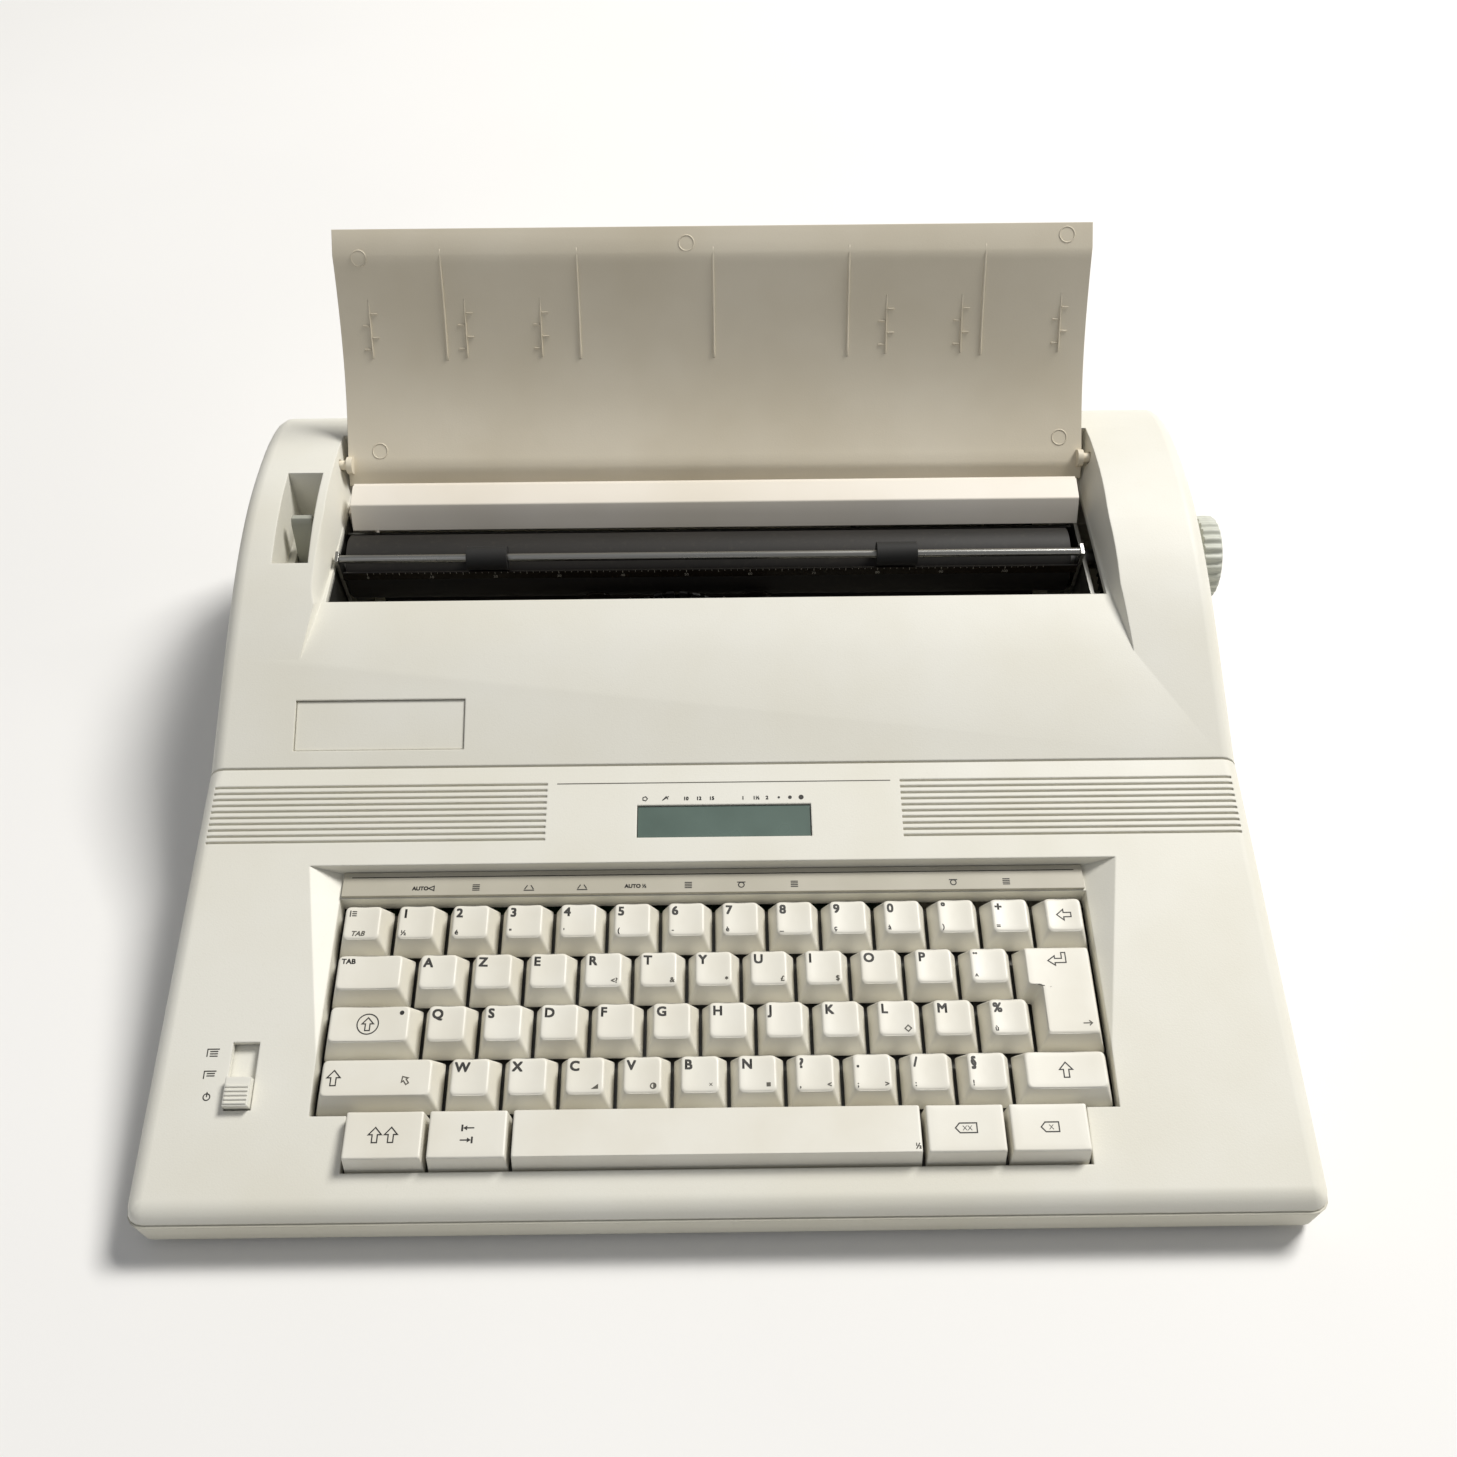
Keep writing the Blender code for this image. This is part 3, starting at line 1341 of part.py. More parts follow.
# ---- bail -----------------------------------------------------------------------------------------
def build_bail():
    pivot = bail_pivot()
    left = FRAME_LEFT + 0.8 * MM
    right = FRAME_RIGHT - 0.8 * MM
    along = Vector((ROD_Y - pivot[0], ROD_Z - pivot[1])).normalized()
    across = Vector((-along.y, along.x)) * ARM_WIDTH / 2
    ends = (Vector(pivot) - along * 2.5 * MM, Vector((ROD_Y, ROD_Z)) + along * 2.0 * MM)
    corners = [ends[0] + across, ends[1] + across, ends[1] - across, ends[0] - across]
    outline = [tuple(corner) for corner in corners]
    origin = (0.0, *pivot)
    frame = plate("bail_frame", [outline], left, left + ARM_THICK, origin=origin)
    other = plate("bail_arm", [outline], right - ARM_THICK, right)
    rail = rod("bail_rod", ROD_RADIUS, (left + MM, ROD_Y, ROD_Z), (right - MM, ROD_Y, ROD_Z), 16)
    pins = [
        rod("bail_pin_left", 1.5 * MM, (FRAME_LEFT_OUTER, *pivot), (left + MM, *pivot), 16),
        rod("bail_pin_right", 1.5 * MM, (right - MM, *pivot), (FRAME_RIGHT_OUTER, *pivot), 16),
    ]
    join(frame, rail)
    join(frame, other)
    join(frame, *pins)
    finish_part(frame, "steel", smooth=True)
    scale = box(
        "bail_scale",
        (left + ARM_THICK + GAP, ROD_Y - 2.4 * MM, ROD_Z - 9 * MM),
        (right - ARM_THICK - GAP, ROD_Y - 1.6 * MM, ROD_Z - 5.2 * MM),
    )
    finish_part(scale, "smoked_plastic")
    bore = ROD_RADIUS + RUNNING
    half = BAIL_ROLLER_LENGTH / 2
    profile = [(bore, half), (BAIL_ROLLER_RADIUS, half), (BAIL_ROLLER_RADIUS, -half), (bore, -half)]
    for side, x in BAIL_ROLLER_X.items():
        roller = turned(f"bail_roller_{side}", profile, (x, ROD_Y, ROD_Z), axis="X", closed=True)
        finish_part(roller, "dark_rubber", smooth=True)


# ---- lid ------------------------------------------------------------------------------------------
def lid_outline():
    """The closed lid's side view: outer curve, finger wedge at the free end, inner curve."""
    count = 14
    outer = []
    inner = []
    for i in range(count + 1):
        along = LID_TAIL - (LID_LENGTH + LID_TAIL) * i / count
        share = max(0.0, -along / LID_LENGTH)
        top = shoulder_z(HINGE_Y + along) - 0.2 * MM + LID_PROUD * share ** 2
        outer.append((HINGE_Y + along, top))
        thick = LID_THICK + (LID_TIP_THICK - LID_THICK) * share ** 2
        if LID_WEDGE - LID_LENGTH < along <= LID_TAIL - LID_TAIL_SLANT:
            inner.append((HINGE_Y + along, top - thick))
    wedge_y = HINGE_Y - LID_LENGTH + LID_WEDGE
    wedge_top = shoulder_z(wedge_y) + LID_PROUD * (1 - LID_WEDGE / LID_LENGTH) ** 2
    inner.append((wedge_y, wedge_top - LID_TIP_THICK))
    tip = (outer[-1][0], outer[-1][1] - 0.8 * MM)
    return outer + [tip] + inner[::-1]


def lid_eye_outline():
    """A hinge eye round the pin, its upper half carried straight up into the lid."""
    radius = HINGE_PIN_RADIUS + 1.4 * MM
    arc = [math.radians(180 + 15 * i) for i in range(13)]
    below = [(radius * math.cos(a), radius * math.sin(a)) for a in arc]
    return below + [(radius, radius), (-radius, radius)]


def build_lid():
    """The lid is shaped closed, about its hinge, and then stands open."""
    origin = (RECESS_X, HINGE_Y, HINGE_Z)
    outline = [(y - HINGE_Y, z - HINGE_Z) for y, z in lid_outline()]
    lid = plate("paper_support_lid", [outline], -LID_HALF, LID_HALF)
    lid.location = origin
    lid.rotation_euler.x = -LID_OPEN
    eyes = []
    pins = []
    for name, side in (("left", -1), ("right", 1)):
        edge = side * (LID_HALF - 2.4 * MM)
        low, high = sorted((edge, side * (LID_HALF - 0.1 * MM)))
        eyes.append(plate(f"lid_eye_{name}", [lid_eye_outline()], low, high, parent=lid))
        start = (edge + side * MM, 0.0, 0.0)
        end = (side * (LID_HALF + 3.6 * MM), 0.0, 0.0)
        pins.append(rod(f"lid_pin_{name}", HINGE_PIN_RADIUS, start, end, 16, parent=lid))
    join(lid, *eyes)
    join(lid, *pins)
    finish_part(lid, "lid_plastic", smooth=True)


# ---- print carriage -------------------------------------------------------------------------------
def build_carriage():
    """The frame that rides on both rails: floor, cheeks, bearing blocks, motor wall and hammer housing."""
    x = CARRIAGE_X
    half = CARRIAGE_HALF
    front = SEAM_Y + 30 * MM
    floor = RAIL_FRONT[1] - 8 * MM
    motor_front = WHEEL_Y - 30 * MM
    rail_y = SEAM_Y + RAIL_REAR[0]
    rail_front_y = SEAM_Y + RAIL_FRONT[0]
    hammer_z = hammer_height()
    frame = box("carriage_frame", (x - half, front, floor), (x + half, WHEEL_Y - 1.5 * MM, floor + 2 * MM))
    blocks = [
        box(
            "motor_wall",
            (x - half + MM, motor_front - 2.5 * MM, floor + MM),
            (x + half - MM, motor_front, CHEEK_TOP),
        ),
        box(
            "hammer_house",
            (x - 5 * MM, motor_front - 2 * MM, CHEEK_TOP - 4 * MM),
            (x + 5 * MM, WHEEL_Y - 6 * MM, hammer_z + 4 * MM),
        ),
        box(
            "belt_clamp",
            (x - 6 * MM, SEAM_Y + BELT_Y + PULLEY_RADIUS + BELT_THICK + 2 * GAP, RAIL_FRONT[1]),
            (x + 6 * MM, front + 2 * MM, RAIL_FRONT[1] + 5 * MM),
        ),
        box(
            "belt_clamp_foot",
            (x - 6 * MM, front - 3 * MM, floor),
            (x + 6 * MM, front + 2 * MM, RAIL_FRONT[1] + 4 * MM),
        ),
    ]
    for side in (-1, 1):
        inner, outer = sorted((side * (half - 2 * MM), side * half))
        low, high = sorted((side * (half - 12 * MM), side * half))
        blocks += [
            box(f"cheek_{side}", (x + inner, front, floor), (x + outer, WHEEL_Y + MM, CHEEK_TOP)),
            box(
                f"rear_block_{side}",
                (x + low, rail_y - 6 * MM, RAIL_REAR[1] - 6 * MM),
                (x + high, rail_y + 6 * MM, floor + MM),
            ),
            box(
                f"front_block_{side}",
                (x + low, rail_front_y - 6 * MM, floor + MM),
                (x + high, rail_front_y + 6 * MM, RAIL_FRONT[1] + 6 * MM),
            ),
        ]
    for block in blocks:
        join(frame, block)
    far = 2 * half
    for name, y, z in (("front", rail_front_y, RAIL_FRONT[1]), ("rear", rail_y, RAIL_REAR[1])):
        cut(frame, rod(f"rail_bore_{name}", RAIL_RADIUS + RUNNING, (x - far, y, z), (x + far, y, z)))
    hammer_radius = 1.2 * MM
    bore_start = (x, motor_front - 5 * MM, hammer_z)
    cut(frame, rod("hammer_bore", hammer_radius + RUNNING, bore_start, (x, WHEEL_Y, hammer_z), 16))
    finish_part(frame, "black_plastic")
    hammer = rod(
        "hammer_pin",
        hammer_radius,
        (x, motor_front - 2 * MM, hammer_z),
        (x, WHEEL_Y - 1.9 * MM, hammer_z),
        16,
    )
    finish_part(hammer, "steel", smooth=True)
    motor = rod(
        "wheel_motor",
        WHEEL_MOTOR_RADIUS,
        (x, motor_front + GAP, WHEEL_Z),
        (x, WHEEL_Y - 2.4 * MM, WHEEL_Z),
        32,
    )
    finish_part(motor, "motor_steel", smooth=True)
    build_print_wheel(x)
    card_y = WHEEL_Y + WHEEL_THICK + MM
    holder = plate("card_holder", [card_holder_outline(x, hammer_z)], card_y, card_y + 0.8 * MM, axis="Y")
    finish_part(holder, "smoked_plastic")
    build_cassette(x, front + 11 * MM, motor_front, WHEEL_Y - 5 * MM)


def hammer_height():
    return WHEEL_Z + WHEEL_RADIUS - 2.5 * MM


def build_print_wheel(x):
    """A disc of spokes round a hub."""
    petals = []
    step = 2 * math.pi / WHEEL_PETALS
    for i in range(WHEEL_PETALS):
        for radius, offset in ((0.5 * WHEEL_RADIUS, 0.0), (WHEEL_RADIUS, 0.2), (WHEEL_RADIUS, 0.8)):
            angle = (i + offset) * step
            petals.append((x + radius * math.cos(angle), WHEEL_Z + radius * math.sin(angle)))
    wheel = plate(
        "print_wheel", [petals], WHEEL_Y, WHEEL_Y + WHEEL_THICK, axis="Y", origin=(x, WHEEL_Y, WHEEL_Z)
    )
    hub_end = (x, WHEEL_Y + WHEEL_THICK / 2, WHEEL_Z)
    hub = rod("wheel_hub", 3 * MM, (x, WHEEL_Y - 2 * MM, WHEEL_Z), hub_end, 16)
    join(wheel, hub)
    finish_part(wheel, "black_plastic")


def card_holder_outline(x, print_z):
    """A plate with a round ear near each end and a notch where the wheel prints."""
    half = CARRIAGE_HALF + 2 * MM
    top = print_z - MM
    bottom = print_z - 20 * MM
    ear = 5 * MM
    notch = 6 * MM
    outline = [(x - half, bottom), (x - half, top)]
    for centre in (x - half + ear + MM, x + half - ear - MM):
        if centre > x:
            outline += [(x - notch, top), (x - notch, top - notch)]
            outline += [(x + notch, top - notch), (x + notch, top)]
        for i in range(7):
            angle = math.pi - math.pi * i / 6
            outline.append((centre + ear * math.cos(angle), top + 0.35 * ear * math.sin(angle)))
    outline += [(x + half, top), (x + half, bottom)]
    return outline


def build_cassette(x, front, notch_front, back):
    """The ribbon cassette: its two arms reach back on either side of the hammer housing."""
    half = CARRIAGE_HALF - 2.5 * MM
    notch = 8 * MM
    outline = [
        (x - half, front),
        (x + half, front),
        (x + half, back),
        (x + notch, back),
        (x + notch, notch_front - 4 * MM),
        (x - notch, notch_front - 4 * MM),
        (x - notch, back),
        (x - half, back),
    ]
    low = CHEEK_TOP + GAP
    cassette = plate("ribbon_cassette", [outline], low, low + CASSETTE_HEIGHT, axis="Z")
    round_edges(cassette, MM, 2)
    finish_part(cassette, "black_plastic")


def build_belt_drive():
    y = SEAM_Y + BELT_Y
    low = BELT_Z - MM
    top = BELT_Z + BELT_HEIGHT + MM
    motor_top = 30 * MM
    motor = rod("carriage_motor", 13 * MM, (PULLEY_LEFT, y, FLOOR_Z), (PULLEY_LEFT, y, motor_top), 32)
    finish_part(motor, "motor_steel", smooth=True)
    spindle = 1.5 * MM
    for name, x, foot in (
        ("drive_pulley", PULLEY_LEFT, motor_top + GAP),
        ("idler_pulley", PULLEY_RIGHT, FLOOR_Z),
    ):
        profile = [
            (0.0, top - low),
            (PULLEY_RADIUS, top - low),
            (PULLEY_RADIUS, 0.0),
            (spindle, 0.0),
            (spindle, foot - low),
            (0.0, foot - low),
        ]
        pulley = turned(name, profile, (x, y, low))
        finish_part(pulley, "grey_plastic", smooth=True)
    inner = belt_loop(PULLEY_RADIUS + GAP, y)
    outer = belt_loop(PULLEY_RADIUS + GAP + BELT_THICK, y)
    belt = plate("drive_belt", [outer, inner], BELT_Z, BELT_Z + BELT_HEIGHT, axis="Z")
    finish_part(belt, "dark_rubber", smooth=True)


def belt_loop(radius, y):
    """A racetrack round both pulleys."""
    points = []
    for x, start in ((PULLEY_RIGHT, -math.pi / 2), (PULLEY_LEFT, math.pi / 2)):
        for i in range(13):
            angle = start + math.pi * i / 12
            points.append((x + radius * math.cos(angle), y + radius * math.sin(angle)))
    return points


build_keyboard_cover()
build_rear_hood()
build_base_tray()
build_feet()
build_deck_fittings()
build_power_slider()
build_keys()
build_key_support()
build_side_frame("side_frame_left", FRAME_LEFT_OUTER, with_lever=True)
build_side_frame("side_frame_right", FRAME_RIGHT, with_lever=False)
build_rails()
build_paper_path()
build_electrics()
build_platen()
build_feed_drive()
build_release_lever()
build_bail()
build_lid()
build_carriage()
build_belt_drive()
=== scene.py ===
import json
import logging
import math
from dataclasses import dataclass, field
from enum import Enum
from typing import Callable, Sequence

import bmesh
import bpy
import numpy as np
from mathutils import Euler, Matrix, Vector

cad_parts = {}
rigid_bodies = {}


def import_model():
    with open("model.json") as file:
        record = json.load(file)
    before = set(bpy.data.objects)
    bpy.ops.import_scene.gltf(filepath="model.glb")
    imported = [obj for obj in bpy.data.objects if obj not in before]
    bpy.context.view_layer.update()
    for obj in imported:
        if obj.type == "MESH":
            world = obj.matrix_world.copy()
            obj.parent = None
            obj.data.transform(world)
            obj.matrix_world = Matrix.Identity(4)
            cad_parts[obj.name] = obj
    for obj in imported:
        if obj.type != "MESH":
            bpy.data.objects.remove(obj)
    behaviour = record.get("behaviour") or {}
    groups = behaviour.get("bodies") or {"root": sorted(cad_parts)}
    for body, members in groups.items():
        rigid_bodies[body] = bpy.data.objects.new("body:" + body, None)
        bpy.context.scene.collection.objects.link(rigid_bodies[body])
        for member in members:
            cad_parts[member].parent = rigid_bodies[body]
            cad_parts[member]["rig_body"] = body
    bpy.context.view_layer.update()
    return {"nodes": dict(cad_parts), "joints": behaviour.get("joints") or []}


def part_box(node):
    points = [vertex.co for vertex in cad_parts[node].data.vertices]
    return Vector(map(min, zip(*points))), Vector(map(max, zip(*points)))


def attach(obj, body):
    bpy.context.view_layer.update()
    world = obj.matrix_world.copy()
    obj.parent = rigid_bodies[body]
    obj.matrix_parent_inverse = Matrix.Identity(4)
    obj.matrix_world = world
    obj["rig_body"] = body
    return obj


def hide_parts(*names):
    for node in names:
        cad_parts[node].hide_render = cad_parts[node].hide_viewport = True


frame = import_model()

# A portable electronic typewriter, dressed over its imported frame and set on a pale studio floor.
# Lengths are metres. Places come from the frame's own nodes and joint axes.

MM = 0.001
LOG = logging.getLogger("typewriter")
# The gap between neighbouring caps, as the frame's own rows are spaced.
KEY_GAP = 1.15 * MM
# Points of one face that lie within this of each other's plane count as level.
SAME_LEVEL = 0.05 * MM
Array = np.ndarray


# ---------------------------------------------------------------- colour and node helpers
def linear(colour: str) -> tuple[float, float, float, float]:
    """Turns an sRGB hex colour to linear.

    Args:
        colour: six hex digits after a hash.

    Returns:
        Linear red, green, blue and an alpha of 1.
    """
    channels = [int(colour[i : i + 2], 16) / 255 for i in (1, 3, 5)]
    bent = [c / 12.92 if c <= 0.04045 else ((c + 0.055) / 1.055) ** 2.4 for c in channels]
    return (*bent, 1.0)


def add_node(
    tree: bpy.types.NodeTree, kind: str, inputs: dict | None = None, **settings: object
) -> bpy.types.Node:
    """Adds one shader node.

    Args:
        tree: the tree that it joins.
        kind: the node's type name.
        inputs: socket names with a value, or another node's output socket to link.
        settings: the node's own properties.

    Returns:
        The new node.
    """
    node = tree.nodes.new(kind)
    for name, value in settings.items():
        setattr(node, name, value)
    for name, value in (inputs or {}).items():
        if isinstance(value, bpy.types.NodeSocket):
            tree.links.new(value, node.inputs[name])
        else:
            node.inputs[name].default_value = value
    return node


class Grain(Enum):
    """How a surface was made, which sets the direction of its fine pattern."""

    EVEN = (1.0, 1.0, 1.0)
    ALONG_X = (0.03, 1.0, 1.0)
    AROUND_X = (1.0, 0.12, 0.12)


@dataclass(frozen=True)
class Finish:
    """A surface with a fine relief, a broad change of tone and a change of gloss.

    The relief is noise at the grain's real size. The tone is noise over several centimetres.
    """

    name: str
    colour: str
    shade: str
    roughness: float
    metallic: float = 0.0
    ior: float = 1.5
    grain: Grain = Grain.EVEN
    grain_size: float = 0.35 * MM
    grain_depth: float = 0.012 * MM
    tone_size: float = 60 * MM
    edge_radius: float = 0.35 * MM
    gloss_change: float = 0.08

    def material(self) -> bpy.types.Material:
        """Returns the material, which is made on first use."""
        found = bpy.data.materials.get(self.name)
        return found or self._build()

    def _build(self) -> bpy.types.Material:
        """Builds the node tree.

        Returns:
            The new material.
        """
        material = bpy.data.materials.new(self.name)
        material.use_nodes = True
        tree = material.node_tree
        shader = tree.nodes["Principled BSDF"]
        coords = add_node(tree, "ShaderNodeTexCoord").outputs["Object"]
        stretched = add_node(
            tree, "ShaderNodeMapping", {"Vector": coords, "Scale": self.grain.value}
        ).outputs["Vector"]
        fine = add_node(
            tree, "ShaderNodeTexNoise", {"Vector": stretched, "Scale": 1 / self.grain_size, "Detail": 2.0}
        ).outputs["Fac"]
        broad = add_node(
            tree, "ShaderNodeTexNoise", {"Vector": coords, "Scale": 1 / self.tone_size, "Detail": 3.0}
        ).outputs["Fac"]
        colour = self._colour(tree, coords, broad)
        tree.links.new(colour, shader.inputs["Base Color"])
        gloss = add_node(
            tree,
            "ShaderNodeMapRange",
            {
                "Value": broad,
                "From Min": 0.3,
                "From Max": 0.7,
                "To Min": self.roughness - self.gloss_change / 2,
                "To Max": self.roughness + self.gloss_change / 2,
            },
        )
        tree.links.new(gloss.outputs["Result"], shader.inputs["Roughness"])
        rounded = add_node(tree, "ShaderNodeBevel", {"Radius": self.edge_radius}, samples=4)
        relief = add_node(
            tree,
            "ShaderNodeBump",
            {"Height": fine, "Distance": self.grain_depth, "Normal": rounded.outputs["Normal"]},
        )
        tree.links.new(relief.outputs["Normal"], shader.inputs["Normal"])
        shader.inputs["Metallic"].default_value = self.metallic
        if not self.metallic:
            shader.inputs["IOR"].default_value = self.ior
        return material

    def _colour(
        self,
        tree: bpy.types.NodeTree,
        coords: bpy.types.NodeSocket,
        broad: bpy.types.NodeSocket,
    ) -> bpy.types.NodeSocket:
        """Mixes the two colours by the broad tone.

        Args:
            tree: the material's tree.
            coords: Object coordinates; not used here.
            broad: the broad tone.

        Returns:
            A colour socket.
        """
        share = add_node(
            tree,
            "ShaderNodeMapRange",
            {"Value": broad, "From Min": 0.35, "From Max": 0.65, "To Min": 0.0, "To Max": 1.0},
        )
        mixed = add_node(
            tree,
            "ShaderNodeMixRGB",
            {"Fac": share.outputs["Result"], "Color1": linear(self.colour), "Color2": linear(self.shade)},
        )
        return mixed.outputs["Color"]


@dataclass(frozen=True)
class SpeckledFinish(Finish):
    """A finish whose colour also carries small specks, as dust or worn texture peaks do."""

    speck_colour: str = "#FFFFFF"
    speck_size: float = 1.2 * MM
    speck_share: float = 0.25

    def _colour(
        self,
        tree: bpy.types.NodeTree,
        coords: bpy.types.NodeSocket,
        broad: bpy.types.NodeSocket,
    ) -> bpy.types.NodeSocket:
        """Mixes specks over the plain colour.

        Args:
            tree: the material's tree.
            coords: Object coordinates.
            broad: the broad tone.

        Returns:
            A colour socket.
        """
        plain = super()._colour(tree, coords, broad)
        noise = add_node(
            tree, "ShaderNodeTexNoise", {"Vector": coords, "Scale": 1 / self.speck_size, "Detail": 4.0}
        ).outputs["Fac"]
        mask = add_node(
            tree,
            "ShaderNodeMapRange",
            {"Value": noise, "From Min": 0.58, "From Max": 0.75, "To Min": 0.0, "To Max": self.speck_share},
        )
        mixed = add_node(
            tree,
            "ShaderNodeMixRGB",
            {"Fac": mask.outputs["Result"], "Color1": plain, "Color2": linear(self.speck_colour)},
        )
        return mixed.outputs["Color"]


# Moulded ABS from a spark-eroded mould: a matt skin of fine pits that breaks up highlights, a little
# yellowed in broad patches. The real grain is about 0.1 mm; it is drawn at 0.6 mm so that it shows.
CASE_ABS = SpeckledFinish(
    "spark_eroded_abs", "#E5E3D9", "#E0DDD0", 0.52, grain_size=0.6 * MM, grain_depth=0.03 * MM,
    speck_colour="#C9C5B5", speck_size=0.9 * MM, speck_share=0.12, edge_radius=0.8 * MM,
)
# The same moulding as the covers, greyer and duller than them, with more and darker specks.
TRAY_ABS = SpeckledFinish(
    "lower_case_abs", "#D6D3C5", "#CFCBBB", 0.56, grain_size=0.6 * MM, grain_depth=0.03 * MM,
    speck_colour="#B5B09F", speck_size=1.4 * MM, speck_share=0.2, edge_radius=0.8 * MM,
)
# Moulded ABS caps: a shallower grain than the case, polished by fingers to a soft sheen.
KEY_ABS = Finish(
    "key_cap_abs", "#E6E3D8", "#E0DCCF", 0.42, grain_size=0.5 * MM, grain_depth=0.012 * MM, tone_size=25 * MM
)
# Moulded ABS of a warmer batch, aged in broad patches; its face is matt and shows faint specks.
LID_ABS = SpeckledFinish(
    "support_lid_abs", "#E2D9C5", "#D8CEB8", 0.5, grain_size=0.6 * MM, grain_depth=0.03 * MM,
    speck_colour="#D8CFBE", speck_size=1.0 * MM, speck_share=0.15,
)
# Smooth moulded ABS: a plain satin bar that catches a soft line of light.
BAR_ABS = Finish("guide_bar_abs", "#EBE4D8", "#E2DACB", 0.45)
# Grey-beige moulded ABS under the function signs: satin, with a slight change of tone along it.
STRIP_ABS = Finish("function_strip_abs", "#BBB6A7", "#B3AE9E", 0.5, tone_size=30 * MM)
# Pale grey-green moulded ABS: satin ribs with softly rounded edges.
KNOB_ABS = Finish("knob_abs", "#C3C5BA", "#B9BBAF", 0.5, edge_radius=0.5 * MM)
# Mid-grey moulded ABS for small levers and pulleys: satin and nearly even.
LEVER_ABS = Finish("lever_abs", "#A9AAA0", "#9FA095", 0.5)
# Injection-moulded black nylon: a dark half-gloss that greys where dust settles.
BLACK_NYLON = SpeckledFinish(
    "black_nylon", "#1B1A18", "#232220", 0.45, speck_colour="#4A4740", speck_size=0.8 * MM, speck_share=0.25
)
# Ground platen rubber: turned marks run round it, with paper dust in them.
PLATEN_RUBBER = SpeckledFinish(
    "ground_platen_rubber", "#16130F", "#1E1A15", 0.62, grain=Grain.AROUND_X, grain_depth=0.02 * MM,
    speck_colour="#3A352C", speck_size=2.5 * MM, speck_share=0.3,
)
# Moulded black rubber: very matt, so that feet and rollers read as soft.
ROLLER_RUBBER = Finish("moulded_rubber", "#141312", "#1B1A18", 0.7)
# Polished smoked acrylic, drawn opaque: near black, with sharp reflections.
SMOKED_ACRYLIC = Finish("smoked_acrylic", "#241D15", "#1F1912", 0.2, ior=1.49, grain_depth=0.002 * MM)
# Drawn steel rod: bright, with fine lines along its length that stretch the highlight.
DRAWN_STEEL = Finish(
    "drawn_steel", "#B9B8B4", "#A7A6A1", 0.28, metallic=1.0, grain=Grain.ALONG_X, grain_size=0.25 * MM,
    grain_depth=0.006 * MM, gloss_change=0.12,
)
# Zinc-plated steel sheet: grey metal in soft spangles a few millimetres across.
PLATED_SHEET = SpeckledFinish(
    "zinc_plated_sheet", "#8E8D88", "#7C7B77", 0.42, metallic=1.0, speck_colour="#A9A8A2", speck_size=4 * MM,
    speck_share=0.5,
)
# Green solder mask on a circuit board: half-gloss green with paler dots where pads show.
BOARD_MASK = SpeckledFinish(
    "solder_mask", "#1F4A2C", "#1A4026", 0.35, speck_colour="#7E8A5A", speck_size=2.2 * MM, speck_share=0.5
)
# A reflective liquid-crystal cell behind a clear window: flat grey-green, a little darker in patches.
DISPLAY_CELL = Finish(
    "liquid_crystal_cell", "#5F7068", "#54655D", 0.3, grain=Grain.ALONG_X, grain_size=1.1 * MM,
    grain_depth=0.004 * MM, tone_size=22 * MM,
)
# Screen-printed inks: matt films a little uneven in tone, in near black, grey and off-white.
PRINT_INK = Finish("screen_print_ink", "#2B2A27", "#35332F", 0.6, grain_size=0.3 * MM, tone_size=4 * MM)
PALE_INK = Finish("grey_print_ink", "#56534B", "#605D54", 0.6, grain_size=0.3 * MM, tone_size=4 * MM)
LIGHT_INK = Finish("white_print_ink", "#B9B4A6", "#A7A294", 0.6, grain_size=0.3 * MM, tone_size=4 * MM)
# Matt painted board: an even pale ground with no gloss, so that it shows soft shadow only.
STUDIO_FLOOR = Finish("matt_studio_board", "#F1F0EE", "#EDECEA", 0.8, grain_size=2 * MM, tone_size=400 * MM)


# ---------------------------------------------------------------- meshes
@dataclass
class Shape:
    """Vertices, and faces as tuples of their indexes."""

    points: Array
    faces: list[tuple[int, ...]]

    @staticmethod
    def joined(shapes: Sequence["Shape"]) -> "Shape":
        """Puts several shapes in one.

        Args:
            shapes: at least one shape.

        Returns:
            All their vertices and faces.
        """
        starts = np.cumsum([0] + [len(s.points) for s in shapes[:-1]])
        faces = [tuple(int(start) + i for i in f) for start, s in zip(starts, shapes) for f in s.faces]
        return Shape(np.concatenate([s.points for s in shapes]), faces)


def ring_shape(rings: Array, close_ends: bool = True) -> Shape:
    """Skins a stack of closed rings: face (k, i) joins points i and i+1 of rings k and k+1.

    Args:
        rings: an array of rings by points by 3, bottom ring first, anticlockwise seen from the last ring.
        close_ends: whether the first and last rings get a face of their own.

    Returns:
        The shape.
    """
    count, around = rings.shape[:2]
    k, i = np.meshgrid(np.arange(count - 1), np.arange(around), indexing="ij")
    j = (i + 1) % around
    quads = np.stack([k * around + i, k * around + j, (k + 1) * around + j, (k + 1) * around + i], axis=-1)
    faces = [tuple(q) for q in quads.reshape(-1, 4).tolist()]
    if close_ends:
        faces.append(tuple(range(around))[::-1])
        faces.append(tuple((count - 1) * around + n for n in range(around)))
    return Shape(rings.reshape(-1, 3), faces)


